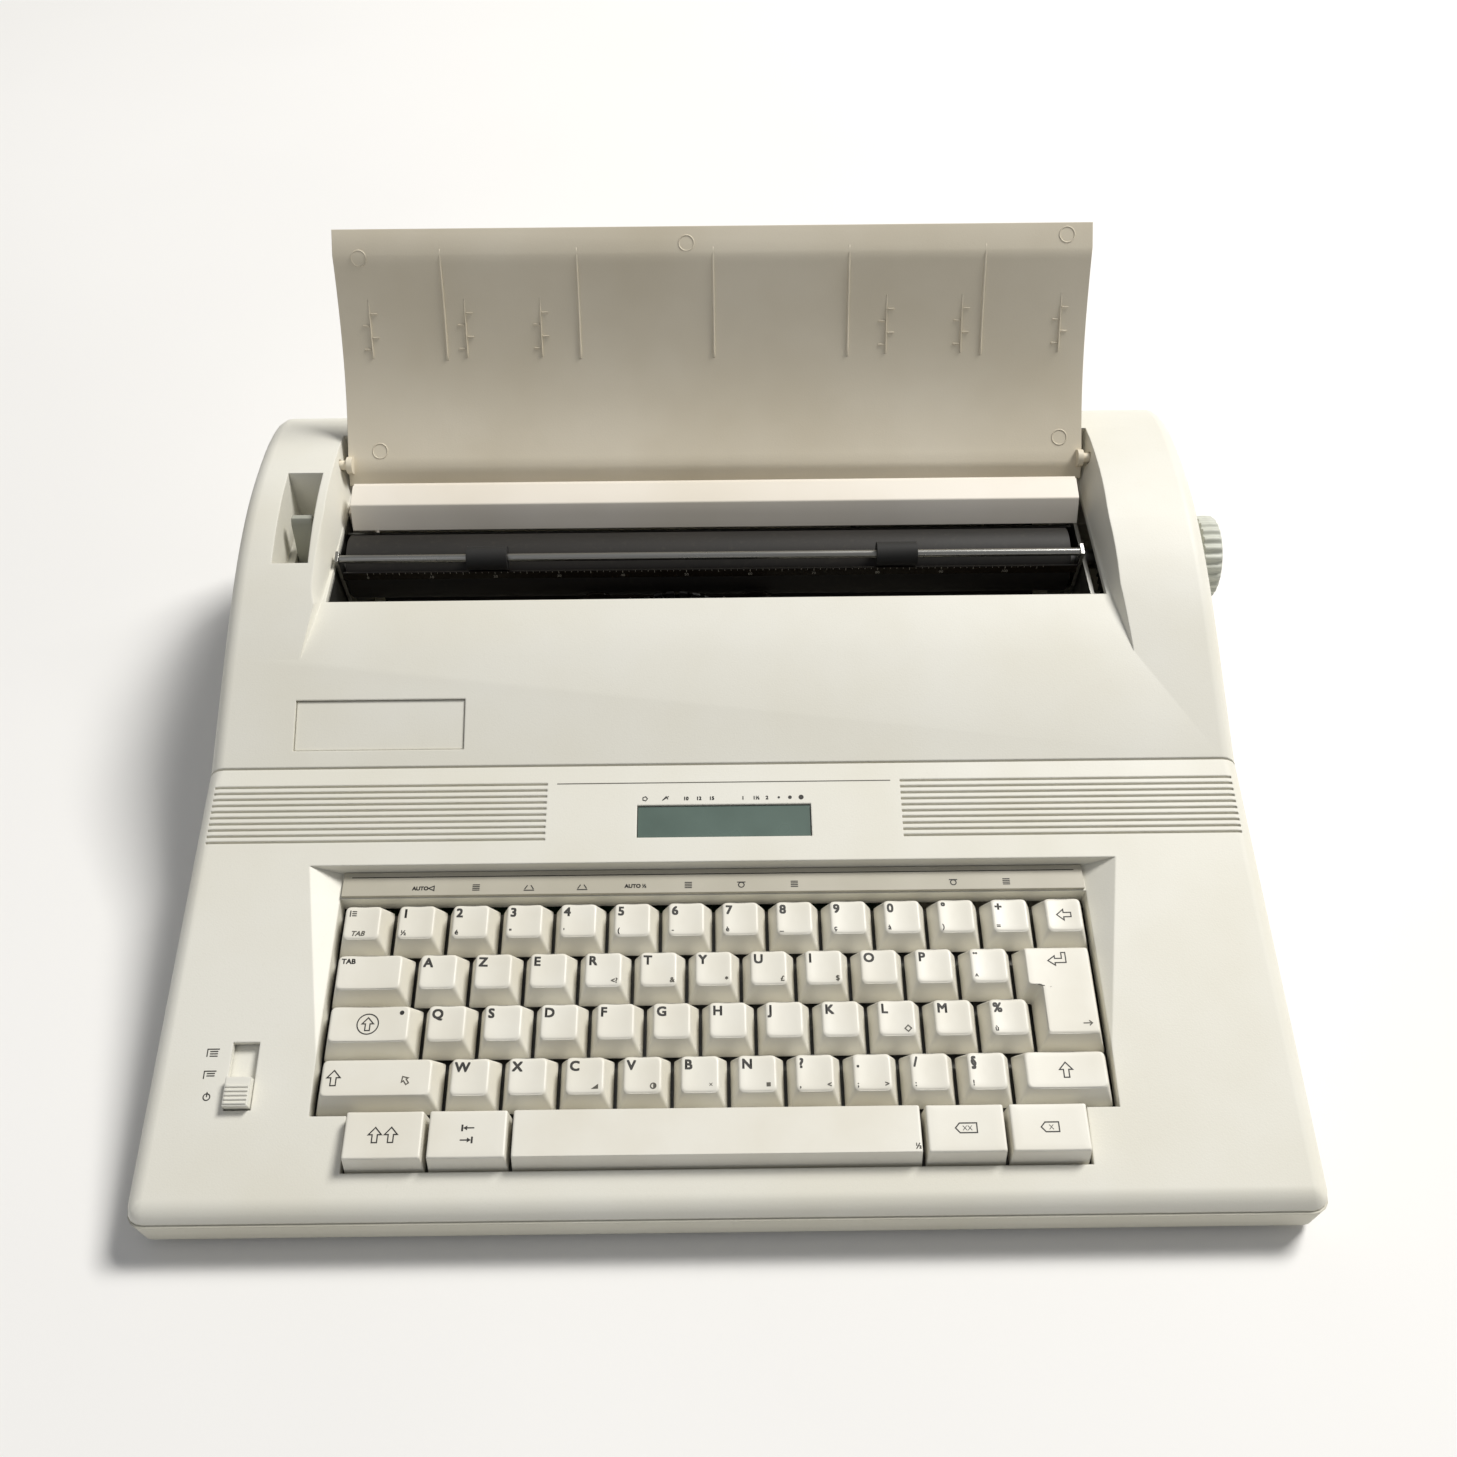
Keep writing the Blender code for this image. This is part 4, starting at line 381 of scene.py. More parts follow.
def weigh_normals(mesh: bpy.types.Mesh, degrees: float) -> None:
    """Sets corner normals so that broad faces stay flat and only the fillets between them look round.

    At each corner it is the sum, by area, of the normals of those faces round its vertex that lie
    within the angle.

    Args:
        mesh: the mesh, with its doubles merged.
        degrees: faces that meet more sharply than this don't share a normal.
    """
    corners, count = len(mesh.loops), len(mesh.polygons)
    vertex = np.empty(corners, np.int32)
    totals, area, normal = np.empty(count, np.int32), np.empty(count), np.empty(count * 3)
    mesh.loops.foreach_get("vertex_index", vertex)
    mesh.polygons.foreach_get("loop_total", totals)
    mesh.polygons.foreach_get("area", area)
    mesh.polygons.foreach_get("normal", normal)
    normal = normal.reshape(-1, 3)
    face = np.repeat(np.arange(count), totals)
    order = np.argsort(vertex, kind="stable")
    _, first, shared = np.unique(vertex[order], return_index=True, return_counts=True)
    width = np.repeat(shared, shared)
    one = np.repeat(np.arange(corners), width)
    step = np.arange(width.sum()) - np.repeat(np.cumsum(width) - width, width)
    other = np.repeat(first, shared)[one] + step
    one_face, other_face = face[order[one]], face[order[other]]
    near = (normal[one_face] * normal[other_face]).sum(1) > math.cos(math.radians(degrees))
    weight = near * area[other_face]
    total = np.stack([np.bincount(order[one], weight * normal[other_face, a], corners) for a in range(3)], -1)
    length = np.linalg.norm(total, axis=1, keepdims=True)
    mesh.shade_smooth()
    unit = total / np.maximum(length, 1e-12)
    mesh.normals_split_custom_set(np.where(length > 0, unit, normal[face]).tolist())


def put(
    name: str,
    shape: Shape,
    finish: Finish,
    body: str,
    replaces: Sequence[str] = (),
    smooth_degrees: float = 30.0,
) -> bpy.types.Object:
    """Makes a finished piece that rides on a body.

    Args:
        name: the piece's name.
        shape: its mesh in the row frame.
        finish: its surface.
        body: the CAD body that carries it.
        replaces: CAD nodes that it stands for.
        smooth_degrees: edges flatter than this are shaded smooth.

    Returns:
        The new object.
    """
    mesh = bpy.data.meshes.new(name)
    mesh.from_pydata(shape.points.tolist(), [], shape.faces)
    mesh.materials.append(finish.material())
    weigh_normals(mesh, smooth_degrees)
    piece = bpy.data.objects.new(name, mesh)
    bpy.context.scene.collection.objects.link(piece)
    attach(piece, body)
    for node in replaces:
        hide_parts(node)
    LOG.info("%s: %d faces on %s", name, len(mesh.polygons), body)
    return piece


def node_points(node: str) -> Array:
    """Returns a CAD node's vertices as an array of points."""
    mesh = frame["nodes"][node].data
    flat = np.empty(len(mesh.vertices) * 3, np.float32)
    mesh.vertices.foreach_get("co", flat)
    return flat.reshape(-1, 3).astype(float)


def joint(name: str) -> dict:
    """Returns the record's joint of that name."""
    return next(j for j in frame["joints"] if j["name"] == name)


def dress_node(node: str, finish: Finish, rounded: bool = False, smooth_degrees: float = 35.0) -> None:
    """Gives a CAD node its finish; a rounded one is shown by a merged, smoothly shaded copy.

    Args:
        node: the CAD node.
        finish: its surface.
        rounded: whether it has round faces that should be shaded smooth.
        smooth_degrees: edges flatter than this are shaded smooth on the copy.
    """
    source = frame["nodes"][node]
    if not rounded:
        source.data.materials.clear()
        source.data.materials.append(finish.material())
        LOG.info("%s: %s on its own mesh", node, finish.name)
        return
    mesh = source.data.copy()
    form = bmesh.new()
    form.from_mesh(mesh)
    bmesh.ops.remove_doubles(form, verts=form.verts, dist=0.002 * MM)
    form.to_mesh(mesh)
    form.free()
    mesh.name = f"{node}_skin"
    mesh.materials.clear()
    mesh.materials.append(finish.material())
    weigh_normals(mesh, smooth_degrees)
    skin = bpy.data.objects.new(f"{node}_skin", mesh)
    bpy.context.scene.collection.objects.link(skin)
    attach(skin, source["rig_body"])
    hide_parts(node)
    LOG.info("%s: %s on a smooth copy, %d faces", node, finish.name, len(mesh.polygons))


# ---------------------------------------------------------------- planes and print
@dataclass
class Plane:
    """A tilted plane that faces up: x runs across, v up its slope and h off it."""

    origin: Array
    tilt: float

    def at(self, x: Array, v: Array, h: Array) -> Array:
        """Returns row-frame points: origin + x across + v (0, cos, sin) + h (0, -sin, cos)."""
        x, v, h = np.broadcast_arrays(x, v, h)
        cos, sin = math.cos(self.tilt), math.sin(self.tilt)
        along = self.origin[1] + v * cos - h * sin
        up = self.origin[2] + v * sin + h * cos
        return np.stack([self.origin[0] + x, along, up], -1)

    def flat(self, points: Array) -> Array:
        """Returns the (x, v, h) of row-frame points."""
        moved = points - self.origin
        cos, sin = math.cos(self.tilt), math.sin(self.tilt)
        v = moved[:, 1] * cos + moved[:, 2] * sin
        h = moved[:, 2] * cos - moved[:, 1] * sin
        return np.stack([moved[:, 0], v, h], -1)


Relief = Callable[[Array, Array], Array]


def level(x: Array, v: Array) -> Array:
    """The relief of a flat plane: no height anywhere."""
    return np.zeros(np.broadcast(x, v).shape)


@dataclass
class PrintSheet:
    """Flat print and thin raised strokes, laid on a plane's relief and kept as one mesh."""

    plane: Plane
    relief: Relief = level
    lift: float = 0.05 * MM
    shapes: list[Shape] = field(default_factory=list)

    def _lay(self, flat: Array, faces: list[tuple[int, ...]]) -> None:
        """Adds flat (x, v) points with faces, lifted just off the relief."""
        height = self.relief(flat[:, 0], flat[:, 1]) + self.lift
        self.shapes.append(Shape(self.plane.at(flat[:, 0], flat[:, 1], height), faces))

    def text(
        self,
        words: str,
        x: float,
        v: float,
        cap_height: float,
        centred: bool = False,
        slant: float = 0.0,
        bold: float = 0.0,
    ) -> None:
        """Lays a line of lettering.

        Args:
            words: the characters.
            x: left end, or the middle where centred.
            v: baseline.
            cap_height: height of a capital letter.
            centred: whether x is the middle.
            slant: how far the tops lean over, as a share of the height.
            bold: how far copies are moved out to thicken the strokes, as a share of the height.
        """
        capital_share = 0.729
        curve = bpy.data.curves.new("lettering", "FONT")
        curve.body = words
        curve.size = cap_height / capital_share
        curve.align_x = "CENTER" if centred else "LEFT"
        curve.shear = slant
        curve.resolution_u = 3
        holder = bpy.data.objects.new("lettering", curve)
        bpy.context.scene.collection.objects.link(holder)
        evaluated = holder.evaluated_get(bpy.context.evaluated_depsgraph_get())
        mesh = bpy.data.meshes.new_from_object(evaluated)
        flat = np.array([p.co[:2] for p in mesh.vertices]).reshape(-1, 2)
        faces = [tuple(p.vertices) for p in mesh.polygons]
        bpy.data.objects.remove(holder)
        bpy.data.curves.remove(curve)
        bpy.data.meshes.remove(mesh)
        if not faces:
            return
        reach = bold * cap_height
        moves = [(a * reach, b * reach) for a in (-1, 1) for b in (-1, 1)] if bold else [(0.0, 0.0)]
        for across, up in moves:
            self._lay(flat + np.array([x + across, v + up]), faces)

    def stroke(self, path: Sequence[tuple[float, float]], width: float, closed: bool = False) -> None:
        """Lays a line of even width: each path point is moved half the width to both sides of it.

        Args:
            path: (x, v) points.
            width: the line's width.
            closed: whether it runs back to its start.
        """
        points = np.array(path, float)
        if closed:
            before, after = np.roll(points, 1, 0), np.roll(points, -1, 0)
        else:
            before = np.vstack([2 * points[0] - points[1], points[:-1]])
            after = np.vstack([points[1:], 2 * points[-1] - points[-2]])
        first = (points - before) / np.linalg.norm(points - before, axis=1, keepdims=True)
        second = (after - points) / np.linalg.norm(after - points, axis=1, keepdims=True)
        middle = first + second
        middle /= np.linalg.norm(middle, axis=1, keepdims=True)
        sideways = np.stack([-middle[:, 1], middle[:, 0]], -1)
        reach = width / 2 / np.clip((middle * first).sum(1, keepdims=True), 0.4, 1)
        flat = np.vstack([points - sideways * reach, points + sideways * reach])
        count = len(points)
        last = count if closed else count - 1
        self._lay(flat, [(i, (i + 1) % count, (i + 1) % count + count, i + count) for i in range(last)])

    def patch(self, outline: Sequence[tuple[float, float]]) -> None:
        """Lays one filled outline, given anticlockwise."""
        self._lay(np.array(outline, float), [tuple(range(len(outline)))])

    def disc(self, x: float, v: float, radius: float, sides: int = 16) -> None:
        """Lays a filled disc."""
        self.patch(round_points(x, v, radius, sides))

    def circle(self, x: float, v: float, radius: float, width: float) -> None:
        """Lays a ring of even width."""
        self.stroke(round_points(x, v, radius, 28), width, closed=True)

    def put(self, name: str, finish: Finish, body: str) -> None:
        """Makes the sheet one piece on a body."""
        if self.shapes:
            put(name, Shape.joined(self.shapes), finish, body)


def round_points(x: float, v: float, radius: float, sides: int) -> list[tuple[float, float]]:
    """Returns points evenly round a circle."""
    turn = np.linspace(0, 2 * math.pi, sides, endpoint=False)
    return list(zip(x + radius * np.cos(turn), v + radius * np.sin(turn)))


def around(x: float, v: float, path: Sequence[tuple[float, float]]) -> list[tuple[float, float]]:
    """Returns a path that is given in millimetres about a point, in its place."""
    return [(x + a * MM, v + b * MM) for a, b in path]


def arrow_outline(x: float, v: float, size: float, turn: float) -> list[tuple[float, float]]:
    """A block arrow's outline about its middle: a triangle on a stem, turned by an angle from pointing up.

    Args:
        x: its middle, across.
        v: its middle, up the slope.
        size: its length.
        turn: the angle from pointing up.

    Returns:
        Its points, anticlockwise.
    """
    half, neck, stem = 0.42 * size, 0.02 * size, 0.17 * size
    left_side = [(0, size / 2), (-half, neck), (-stem, neck), (-stem, -size / 2)]
    right_side = [(stem, -size / 2), (stem, neck), (half, neck)]
    outline = np.array(left_side + right_side)
    cos, sin = math.cos(turn), math.sin(turn)
    spun = outline @ np.array([[cos, sin], [-sin, cos]])
    return [(x + a, v + b) for a, b in spun]


# ---------------------------------------------------------------- keyboard
class Mark(Enum):
    """The small signs that some keys carry."""

    NONE = 0
    LOCK = 1
    SHIFT_LEFT = 2
    SHIFT_RIGHT = 3
    DOUBLE_UP = 4
    MARGINS = 5
    RETURN = 6
    ERASE = 7
    ERASE_WORD = 8
    BACK = 9
    TRIANGLE = 10
    HALF_DISC = 11
    CROSS = 12
    BLOCK = 13
    DIAMOND = 14
    TAB_SET = 15


@dataclass
class Legend:
    """What is printed on a cap: the main sign, one under it, one at its lower right, and a mark."""

    main: str = ""
    under: str = ""
    corner: str = ""
    mark: Mark = Mark.NONE


@dataclass
class KeyCap:
    """A hollow-looking cap: sloping skirts, soft corners and a top dished from side to side."""

    base: Array
    top: Array
    base_h: float
    legend: Legend
    dish: float = 0.55 * MM
    corner: float = 1.7 * MM
    arc_points: int = 5
    side_points: int = 7

    def outline(self, corners: Array, radius: float) -> Array:
        """Rounds a polygon: each corner C becomes (1-t)^2 A + 2t(1-t) C + t^2 B, with A and B a radius off.

        Args:
            corners: the polygon's corners, anticlockwise.
            radius: how far the rounding reaches along each side.

        Returns:
            Its points, with some along each straight side.
        """
        before, after = np.roll(corners, 1, 0), np.roll(corners, -1, 0)
        back = (before - corners) / np.linalg.norm(before - corners, axis=1, keepdims=True)
        ahead = (after - corners) / np.linalg.norm(after - corners, axis=1, keepdims=True)
        start, end = corners + back * radius, corners + ahead * radius
        t = np.linspace(0, 1, self.arc_points)[None, :, None]
        arcs = (1 - t) ** 2 * start[:, None] + 2 * t * (1 - t) * corners[:, None] + t * t * end[:, None]
        s = np.linspace(0, 1, self.side_points + 2)[None, 1:-1, None]
        sides = end[:, None] * (1 - s) + np.roll(start, -1, 0)[:, None] * s
        return np.concatenate([arcs, sides], axis=1).reshape(-1, 2)

    def relief(self, x: Array, v: Array) -> Array:
        """The dished top: depth times (u^2 - 1), where u runs from -1 to 1 across the top."""
        low, high = self.top[:, 0].min(), self.top[:, 0].max()
        u = np.clip((x - low) / (high - low) * 2 - 1, -1, 1)
        return -self.dish * (1 - u * u)

    def shape(self, plane: Plane) -> Shape:
        """Stacks outlines up the skirt, round the upper edge and in to the top's middle.

        Args:
            plane: the key plane.

        Returns:
            The cap in the row frame.
        """
        low = self.outline(self.base, 0.5 * self.corner)
        high = self.outline(self.top, self.corner)
        middle = self.top.mean(0)
        edge = 0.75 * MM
        rings = []
        for share in (0.0, 0.5, 0.93):
            flat = low * (1 - share) + high * share
            rings.append(plane.at(flat[:, 0], flat[:, 1], np.full(len(flat), self.base_h * (1 - share))))
        span = np.abs(self.top - middle).max()
        for inward, drop in ((0.0, 0.55), (0.35, 0.16), (1.0, 0.0)):
            flat = middle + (high - middle) * (1 - inward * edge / span)
            height = self.relief(flat[:, 0], flat[:, 1]) - drop * edge
            rings.append(plane.at(flat[:, 0], flat[:, 1], height))
        for share in (0.75, 0.45, 0.15):
            flat = middle + (high - middle) * share * (1 - edge / span)
            rings.append(plane.at(flat[:, 0], flat[:, 1], self.relief(flat[:, 0], flat[:, 1])))
        return ring_shape(np.array(rings))


@dataclass
class Keyboard:
    """All the caps with their legends. Rows that are one CAD body get one cap for each key."""

    side_inset: float = 2.75 * MM
    back_inset: float = 2.1 * MM
    front_inset: float = 3.5 * MM
    bar_side_inset: float = 0.45 * MM
    bar_front_inset: float = 2.1 * MM
    letter_height: float = 3.4 * MM
    small_height: float = 1.9 * MM
    line: float = 0.42 * MM
    margin: float = 1.0 * MM
    # Caps wider than this, such as the space bar, have a flat top.
    flat_width: float = 40 * MM
    dish: float = 0.45 * MM
    bar_dish: float = 0.2 * MM
    corner: float = 1.9 * MM
    bar_corner: float = 0.7 * MM
    main_bold: float = 0.05
    small_bold: float = 0.04
    word_slant: float = 0.25
    word_start: float = 1.6 * MM
    character_width: float = 1.3 * MM

    NUMBER_ROW = (
        Legend(under="TAB", mark=Mark.TAB_SET), Legend("1", "½"), Legend("2", "é"), Legend("3", '"'),
        Legend("4", "'"), Legend("5", "("), Legend("6", "-"), Legend("7", "è"), Legend("8", "_"),
        Legend("9", "ç"), Legend("0", "à"),
        Legend("°", ")"), Legend("+", "="), Legend(mark=Mark.BACK),
    )
    TOP_ROW = (
        Legend("A"), Legend("Z"), Legend("E"), Legend("R", corner="<?"), Legend("T", corner="&"),
        Legend("Y", corner="*"),
        Legend("U", corner="£"), Legend("I", corner="$"), Legend("O"), Legend("P"), Legend("¨", "^"),
    )
    HOME_ROW = (
        Legend("Q"), Legend("S"), Legend("D"), Legend("F"), Legend("G"), Legend("H"), Legend("J"),
        Legend("K"), Legend("L", mark=Mark.DIAMOND), Legend("M"), Legend("%", "ù"),
    )
    BOTTOM_ROW = (
        Legend("W"), Legend("X"), Legend("C", mark=Mark.TRIANGLE), Legend("V", mark=Mark.HALF_DISC),
        Legend("B", mark=Mark.CROSS), Legend("N", mark=Mark.BLOCK), Legend("?", ",", "<"),
        Legend(".", ";", ">"), Legend("/", ":"), Legend("§", "!"),
    )
    ROWS = {
        "number_row_keys": NUMBER_ROW,
        "top_letter_keys": TOP_ROW,
        "home_letter_keys": HOME_ROW,
        "bottom_letter_keys": BOTTOM_ROW,
    }
    SINGLES = {
        "tab_key": Legend("TAB"),
        "lock_key": Legend(mark=Mark.LOCK),
        "left_shift_key": Legend(mark=Mark.SHIFT_LEFT),
        "right_shift_key": Legend(mark=Mark.SHIFT_RIGHT),
    }
    BARS = {
        "code_key": Legend(mark=Mark.DOUBLE_UP),
        "margin_key": Legend(mark=Mark.MARGINS),
        "space_bar": Legend(corner="½"),
        "word_erase_key": Legend(mark=Mark.ERASE_WORD),
        "erase_key": Legend(mark=Mark.ERASE),
    }

    # Outlines of marks, in millimetres about their own middle.
    RETURN_HOOK = (
        (-3.2, -0.6), (-0.8, 1.2), (-0.8, 0.2), (1.6, 0.2), (1.6, 2.4), (3.0, 2.4), (3.0, -1.4), (-0.8, -1.4),
        (-0.8, -2.4),
    )
    ARROW_HEAD = ((-3.2, 0.9), (-2.2, 0.0), (-3.2, -0.9))

    def __post_init__(self) -> None:
        """Finds the key plane: its tilt is the keys' travel, and its height is the number row's tops."""
        axis = joint("number_row_keys_press")["axis"]
        self.plane = Plane(np.zeros(3), math.atan2(-axis[1], axis[2]))
        tops = self.plane.flat(node_points("number_row_keys"))[:, 2].max()
        self.plane.origin = self.plane.at(0.0, 0.0, tops)

    def build(self) -> None:
        """Makes every cap and its print."""
        for body, legends in self.ROWS.items():
            self._build_row(body, legends)
        for body, legend in self.SINGLES.items():
            self._place(body, [self._cap(*self._extent(body), legend)])
        for body, legend in self.BARS.items():
            self._place(body, [self._cap(*self._extent(body), legend, bar=True)])
        self._build_return()

    def _extent(self, node: str) -> tuple[float, float, float, float, float]:
        """Returns a node's left, right, front, back and skirt height in the key plane."""
        flat = self.plane.flat(node_points(node))
        lowest, highest = flat.min(0), flat.max(0)
        skirt = flat[np.abs(flat[:, 0] - lowest[0]) < SAME_LEVEL][:, 2].min()
        return lowest[0], highest[0], lowest[1], highest[1], skirt

    def _build_row(self, body: str, legends: Sequence[Legend]) -> None:
        """Cuts a row body's width into equal caps with the gap that its neighbours have."""
        left, right, front, back, skirt = self._extent(body)
        pitch = (right - left + KEY_GAP) / len(legends)
        caps = [
            self._cap(left + i * pitch, left + (i + 1) * pitch - KEY_GAP, front, back, skirt, legend)
            for i, legend in enumerate(legends)
        ]
        self._place(body, caps)

    def _cap(
        self,
        left: float,
        right: float,
        front: float,
        back: float,
        skirt: float,
        legend: Legend,
        bar: bool = False,
    ) -> KeyCap:
        """Makes a four-sided cap from its skirt's extent.

        Args:
            left: the skirt's left side.
            right: its right side.
            front: its front.
            back: its back.
            skirt: the height of its foot in the key plane.
            legend: what is printed on it.
            bar: whether it is one of the flatter caps of the front row.

        Returns:
            The cap.
        """
        side = self.bar_side_inset if bar else self.side_inset
        rear = self.bar_side_inset if bar else self.back_inset
        fore = self.bar_front_inset if bar else self.front_inset
        base = np.array([(left, front), (right, front), (right, back), (left, back)])
        top = np.array(
            [
                (left + side, front + fore),
                (right - side, front + fore),
                (right - side, back - rear),
                (left + side, back - rear),
            ]
        )
        dish = self.bar_dish if bar else self.dish
        if right - left > self.flat_width:
            dish = 0.0
        corner = self.bar_corner if bar else self.corner
        return KeyCap(base, top, skirt, legend, dish=dish, corner=corner)

    def _build_return(self) -> None:
        """The tall key over two rows, with its step at the left where the rows meet."""
        flat = self.plane.flat(node_points("return_key"))
        left, right, front, back, skirt = self._extent("return_key")
        lower = flat[np.abs(flat[:, 1] - front) < SAME_LEVEL][:, 0].min()
        split = flat[np.abs(flat[:, 0] - left) < SAME_LEVEL][:, 1].min()
        side, rear, fore = self.side_inset, self.back_inset, self.front_inset
        step = [(left, back), (left, split), (lower, split), (lower, front)]
        base = np.array(step + [(right, front), (right, back)])
        top = np.array(
            [
                (left + side, back - rear),
                (left + side, split + fore),
                (lower + side, split + fore),
                (lower + side, front + fore),
                (right - side, front + fore),
                (right - side, back - rear),
            ]
        )
        legend = Legend(mark=Mark.RETURN)
        self._place("return_key", [KeyCap(base, top, skirt, legend, dish=0.3 * MM, corner=1.1 * MM)])

    def _place(self, body: str, caps: list[KeyCap]) -> None:
        """Puts a body's caps and their dark and grey print in the scene."""
        shape = Shape.joined([cap.shape(self.plane) for cap in caps])
        put(f"{body}_caps", shape, KEY_ABS, body, replaces=[body], smooth_degrees=50)
        dark, pale = PrintSheet(self.plane), PrintSheet(self.plane)
        for cap in caps:
            dark.relief = pale.relief = cap.relief
            self._print(cap, dark, pale)
        dark.put(f"{body}_print", PRINT_INK, body)
        pale.put(f"{body}_grey_print", PALE_INK, body)

    def _print(self, cap: KeyCap, dark: PrintSheet, pale: PrintSheet) -> None:
        """Lays a cap's legend: main sign upper left, the second under it, the third lower right."""
        left, front = cap.top.min(0)
        right, back = cap.top.max(0)
        legend = cap.legend
        x = left + self.margin
        low = front + 1.1 * self.margin
        if legend.main:
            height = self.letter_height if len(legend.main) == 1 else self.small_height
            dark.text(legend.main, x, back - self.margin - height, height, bold=self.main_bold)
        if legend.under:
            is_word = len(legend.under) > 1
            sheet, slant = (pale, self.word_slant) if is_word else (dark, 0.0)
            start = x + (self.word_start if is_word else 0)
            sheet.text(legend.under, start, low, self.small_height, slant=slant, bold=self.small_bold)
        if legend.corner:
            start = right - self.margin - self.character_width * len(legend.corner)
            pale.text(legend.corner, start, low, self.small_height, bold=self.small_bold)
        self._mark(cap, dark, (left + right) / 2, (front + back) / 2, pale)
        self._small_mark(cap, pale, right - 2.6 * MM, front + 2.3 * MM)

    def _mark(self, cap: KeyCap, dark: PrintSheet, x: float, v: float, pale: PrintSheet) -> None:
        """Draws a cap's large mark, if it has one.

        Args:
            cap: the cap.
            dark: the sheet of dark print.
            x: middle of the top, across.
            v: middle of the top, up the slope.
            pale: the sheet of grey print.
        """
        mark, line = cap.legend.mark, self.line
        left, right = cap.top[:, 0].min(), cap.top[:, 0].max()
        front, back = cap.top[:, 1].min(), cap.top[:, 1].max()
        if mark is Mark.LOCK:
            dark.circle(x - 0.5 * MM, v, 3.6 * MM, line)
            dark.stroke(arrow_outline(x - 0.5 * MM, v, 4.6 * MM, 0.0), line, closed=True)
            dark.disc(right - 2.6 * MM, back - 2.3 * MM, 0.8 * MM)
        elif mark is Mark.SHIFT_LEFT:
            dark.stroke(arrow_outline(left + 4.0 * MM, v, 5.2 * MM, 0.0), line, closed=True)
            pale.stroke(arrow_outline(right - 8.5 * MM, v - 1 * MM, 3.0 * MM, 0.6), line, closed=True)
        elif mark is Mark.SHIFT_RIGHT:
            dark.stroke(arrow_outline(x, v, 5.2 * MM, 0.0), line, closed=True)
        elif mark is Mark.DOUBLE_UP:
            for side in (-2.6 * MM, 2.6 * MM):
                dark.stroke(arrow_outline(x + side, v, 5.0 * MM, 0.0), line, closed=True)
        elif mark is Mark.MARGINS:
            for way, height in ((-1, 2.0 * MM), (1, -2.0 * MM)):
                self._margin_sign(dark, x, v + height, way)
        elif mark is Mark.RETURN:
            dark.stroke(around((left + right) / 2, back - 4.2 * MM, self.RETURN_HOOK), line, closed=True)
            low = front + 3.4 * MM
            pale.stroke([(right - 5.2 * MM, low), (right - 2.2 * MM, low)], line)
            pale.stroke(around(right, low, self.ARROW_HEAD), line)
        elif mark in (Mark.ERASE, Mark.ERASE_WORD):
            letters = "XX" if mark is Mark.ERASE_WORD else "X"
            half = (2.3 + 0.6 * len(letters)) * MM
            slope = 1.4 * MM
            box = [(-half, 0.0), (slope - half, 1.6 * MM), (half, 1.6 * MM)]
            box += [(half, -1.6 * MM), (slope - half, -1.6 * MM)]
            dark.stroke([(x + a, v + b) for a, b in box], line, closed=True)
            dark.text(letters, x + 0.4 * MM, v - 0.85 * MM, 1.7 * MM, centred=True)
        elif mark is Mark.BACK:
            dark.stroke(arrow_outline(x, v, 5.0 * MM, math.pi / 2), line, closed=True)
        elif mark is Mark.TAB_SET:
            high = back - 2.6 * MM
            dark.stroke([(left + 1.6 * MM, high - 1.2 * MM), (left + 1.6 * MM, high + 1.2 * MM)], line)
            for step in (-0.8, 0.0, 0.8):
                height = high + step * MM
                dark.stroke([(left + 2.2 * MM, height), (left + 3.8 * MM, height)], line)

    def _margin_sign(self, dark: PrintSheet, x: float, v: float, way: int) -> None:
        """Draws an arrow that runs up against a bar.

        Args:
            dark: the sheet of dark print.
            x: middle of the sign, across.
            v: its height up the slope.
            way: 1 where it points right, -1 left.
        """
        bar_x = x + way * 1.7 * MM
        dark.stroke([(bar_x, v - 1.1 * MM), (bar_x, v + 1.1 * MM)], 1.5 * self.line)
        dark.stroke([(x - way * 2.2 * MM, v), (bar_x - way * 0.5 * MM, v)], self.line)
        tip = bar_x - way * 0.3 * MM
        tail = tip - way * 1.3 * MM
        head = [(tip, v), (tail, v + 0.8 * MM), (tail, v - 0.8 * MM)]
        dark.patch(head if way > 0 else head[::-1])

    def _small_mark(self, cap: KeyCap, pale: PrintSheet, x: float, v: float) -> None:
        """Draws a cap's small mark, if it has one.

        Args:
            cap: the cap.
            pale: the sheet of grey print.
            x: middle of the mark, across.
            v: middle of the mark, up the slope.
        """
        mark, line = cap.legend.mark, self.line
        if mark is Mark.TRIANGLE:
            pale.patch(around(x, v, ((-1.5, -0.8), (0.9, -0.8), (0.9, 0.9))))
        elif mark is Mark.HALF_DISC:
            radius = 0.9 * MM
            pale.circle(x, v, radius, line)
            pale.patch([p for p in round_points(x, v, radius, 28) if p[0] >= x - 0.01 * MM])
        elif mark is Mark.CROSS:
            pale.text("×", x, v - 0.7 * MM, self.small_height, centred=True)
        elif mark is Mark.BLOCK:
            pale.patch(around(x, v, ((-0.7, -0.7), (0.7, -0.7), (0.7, 0.7), (-0.7, 0.7))))
        elif mark is Mark.DIAMOND:
            pale.stroke(round_points(x, v, 1.1 * MM, 4), line, closed=True)


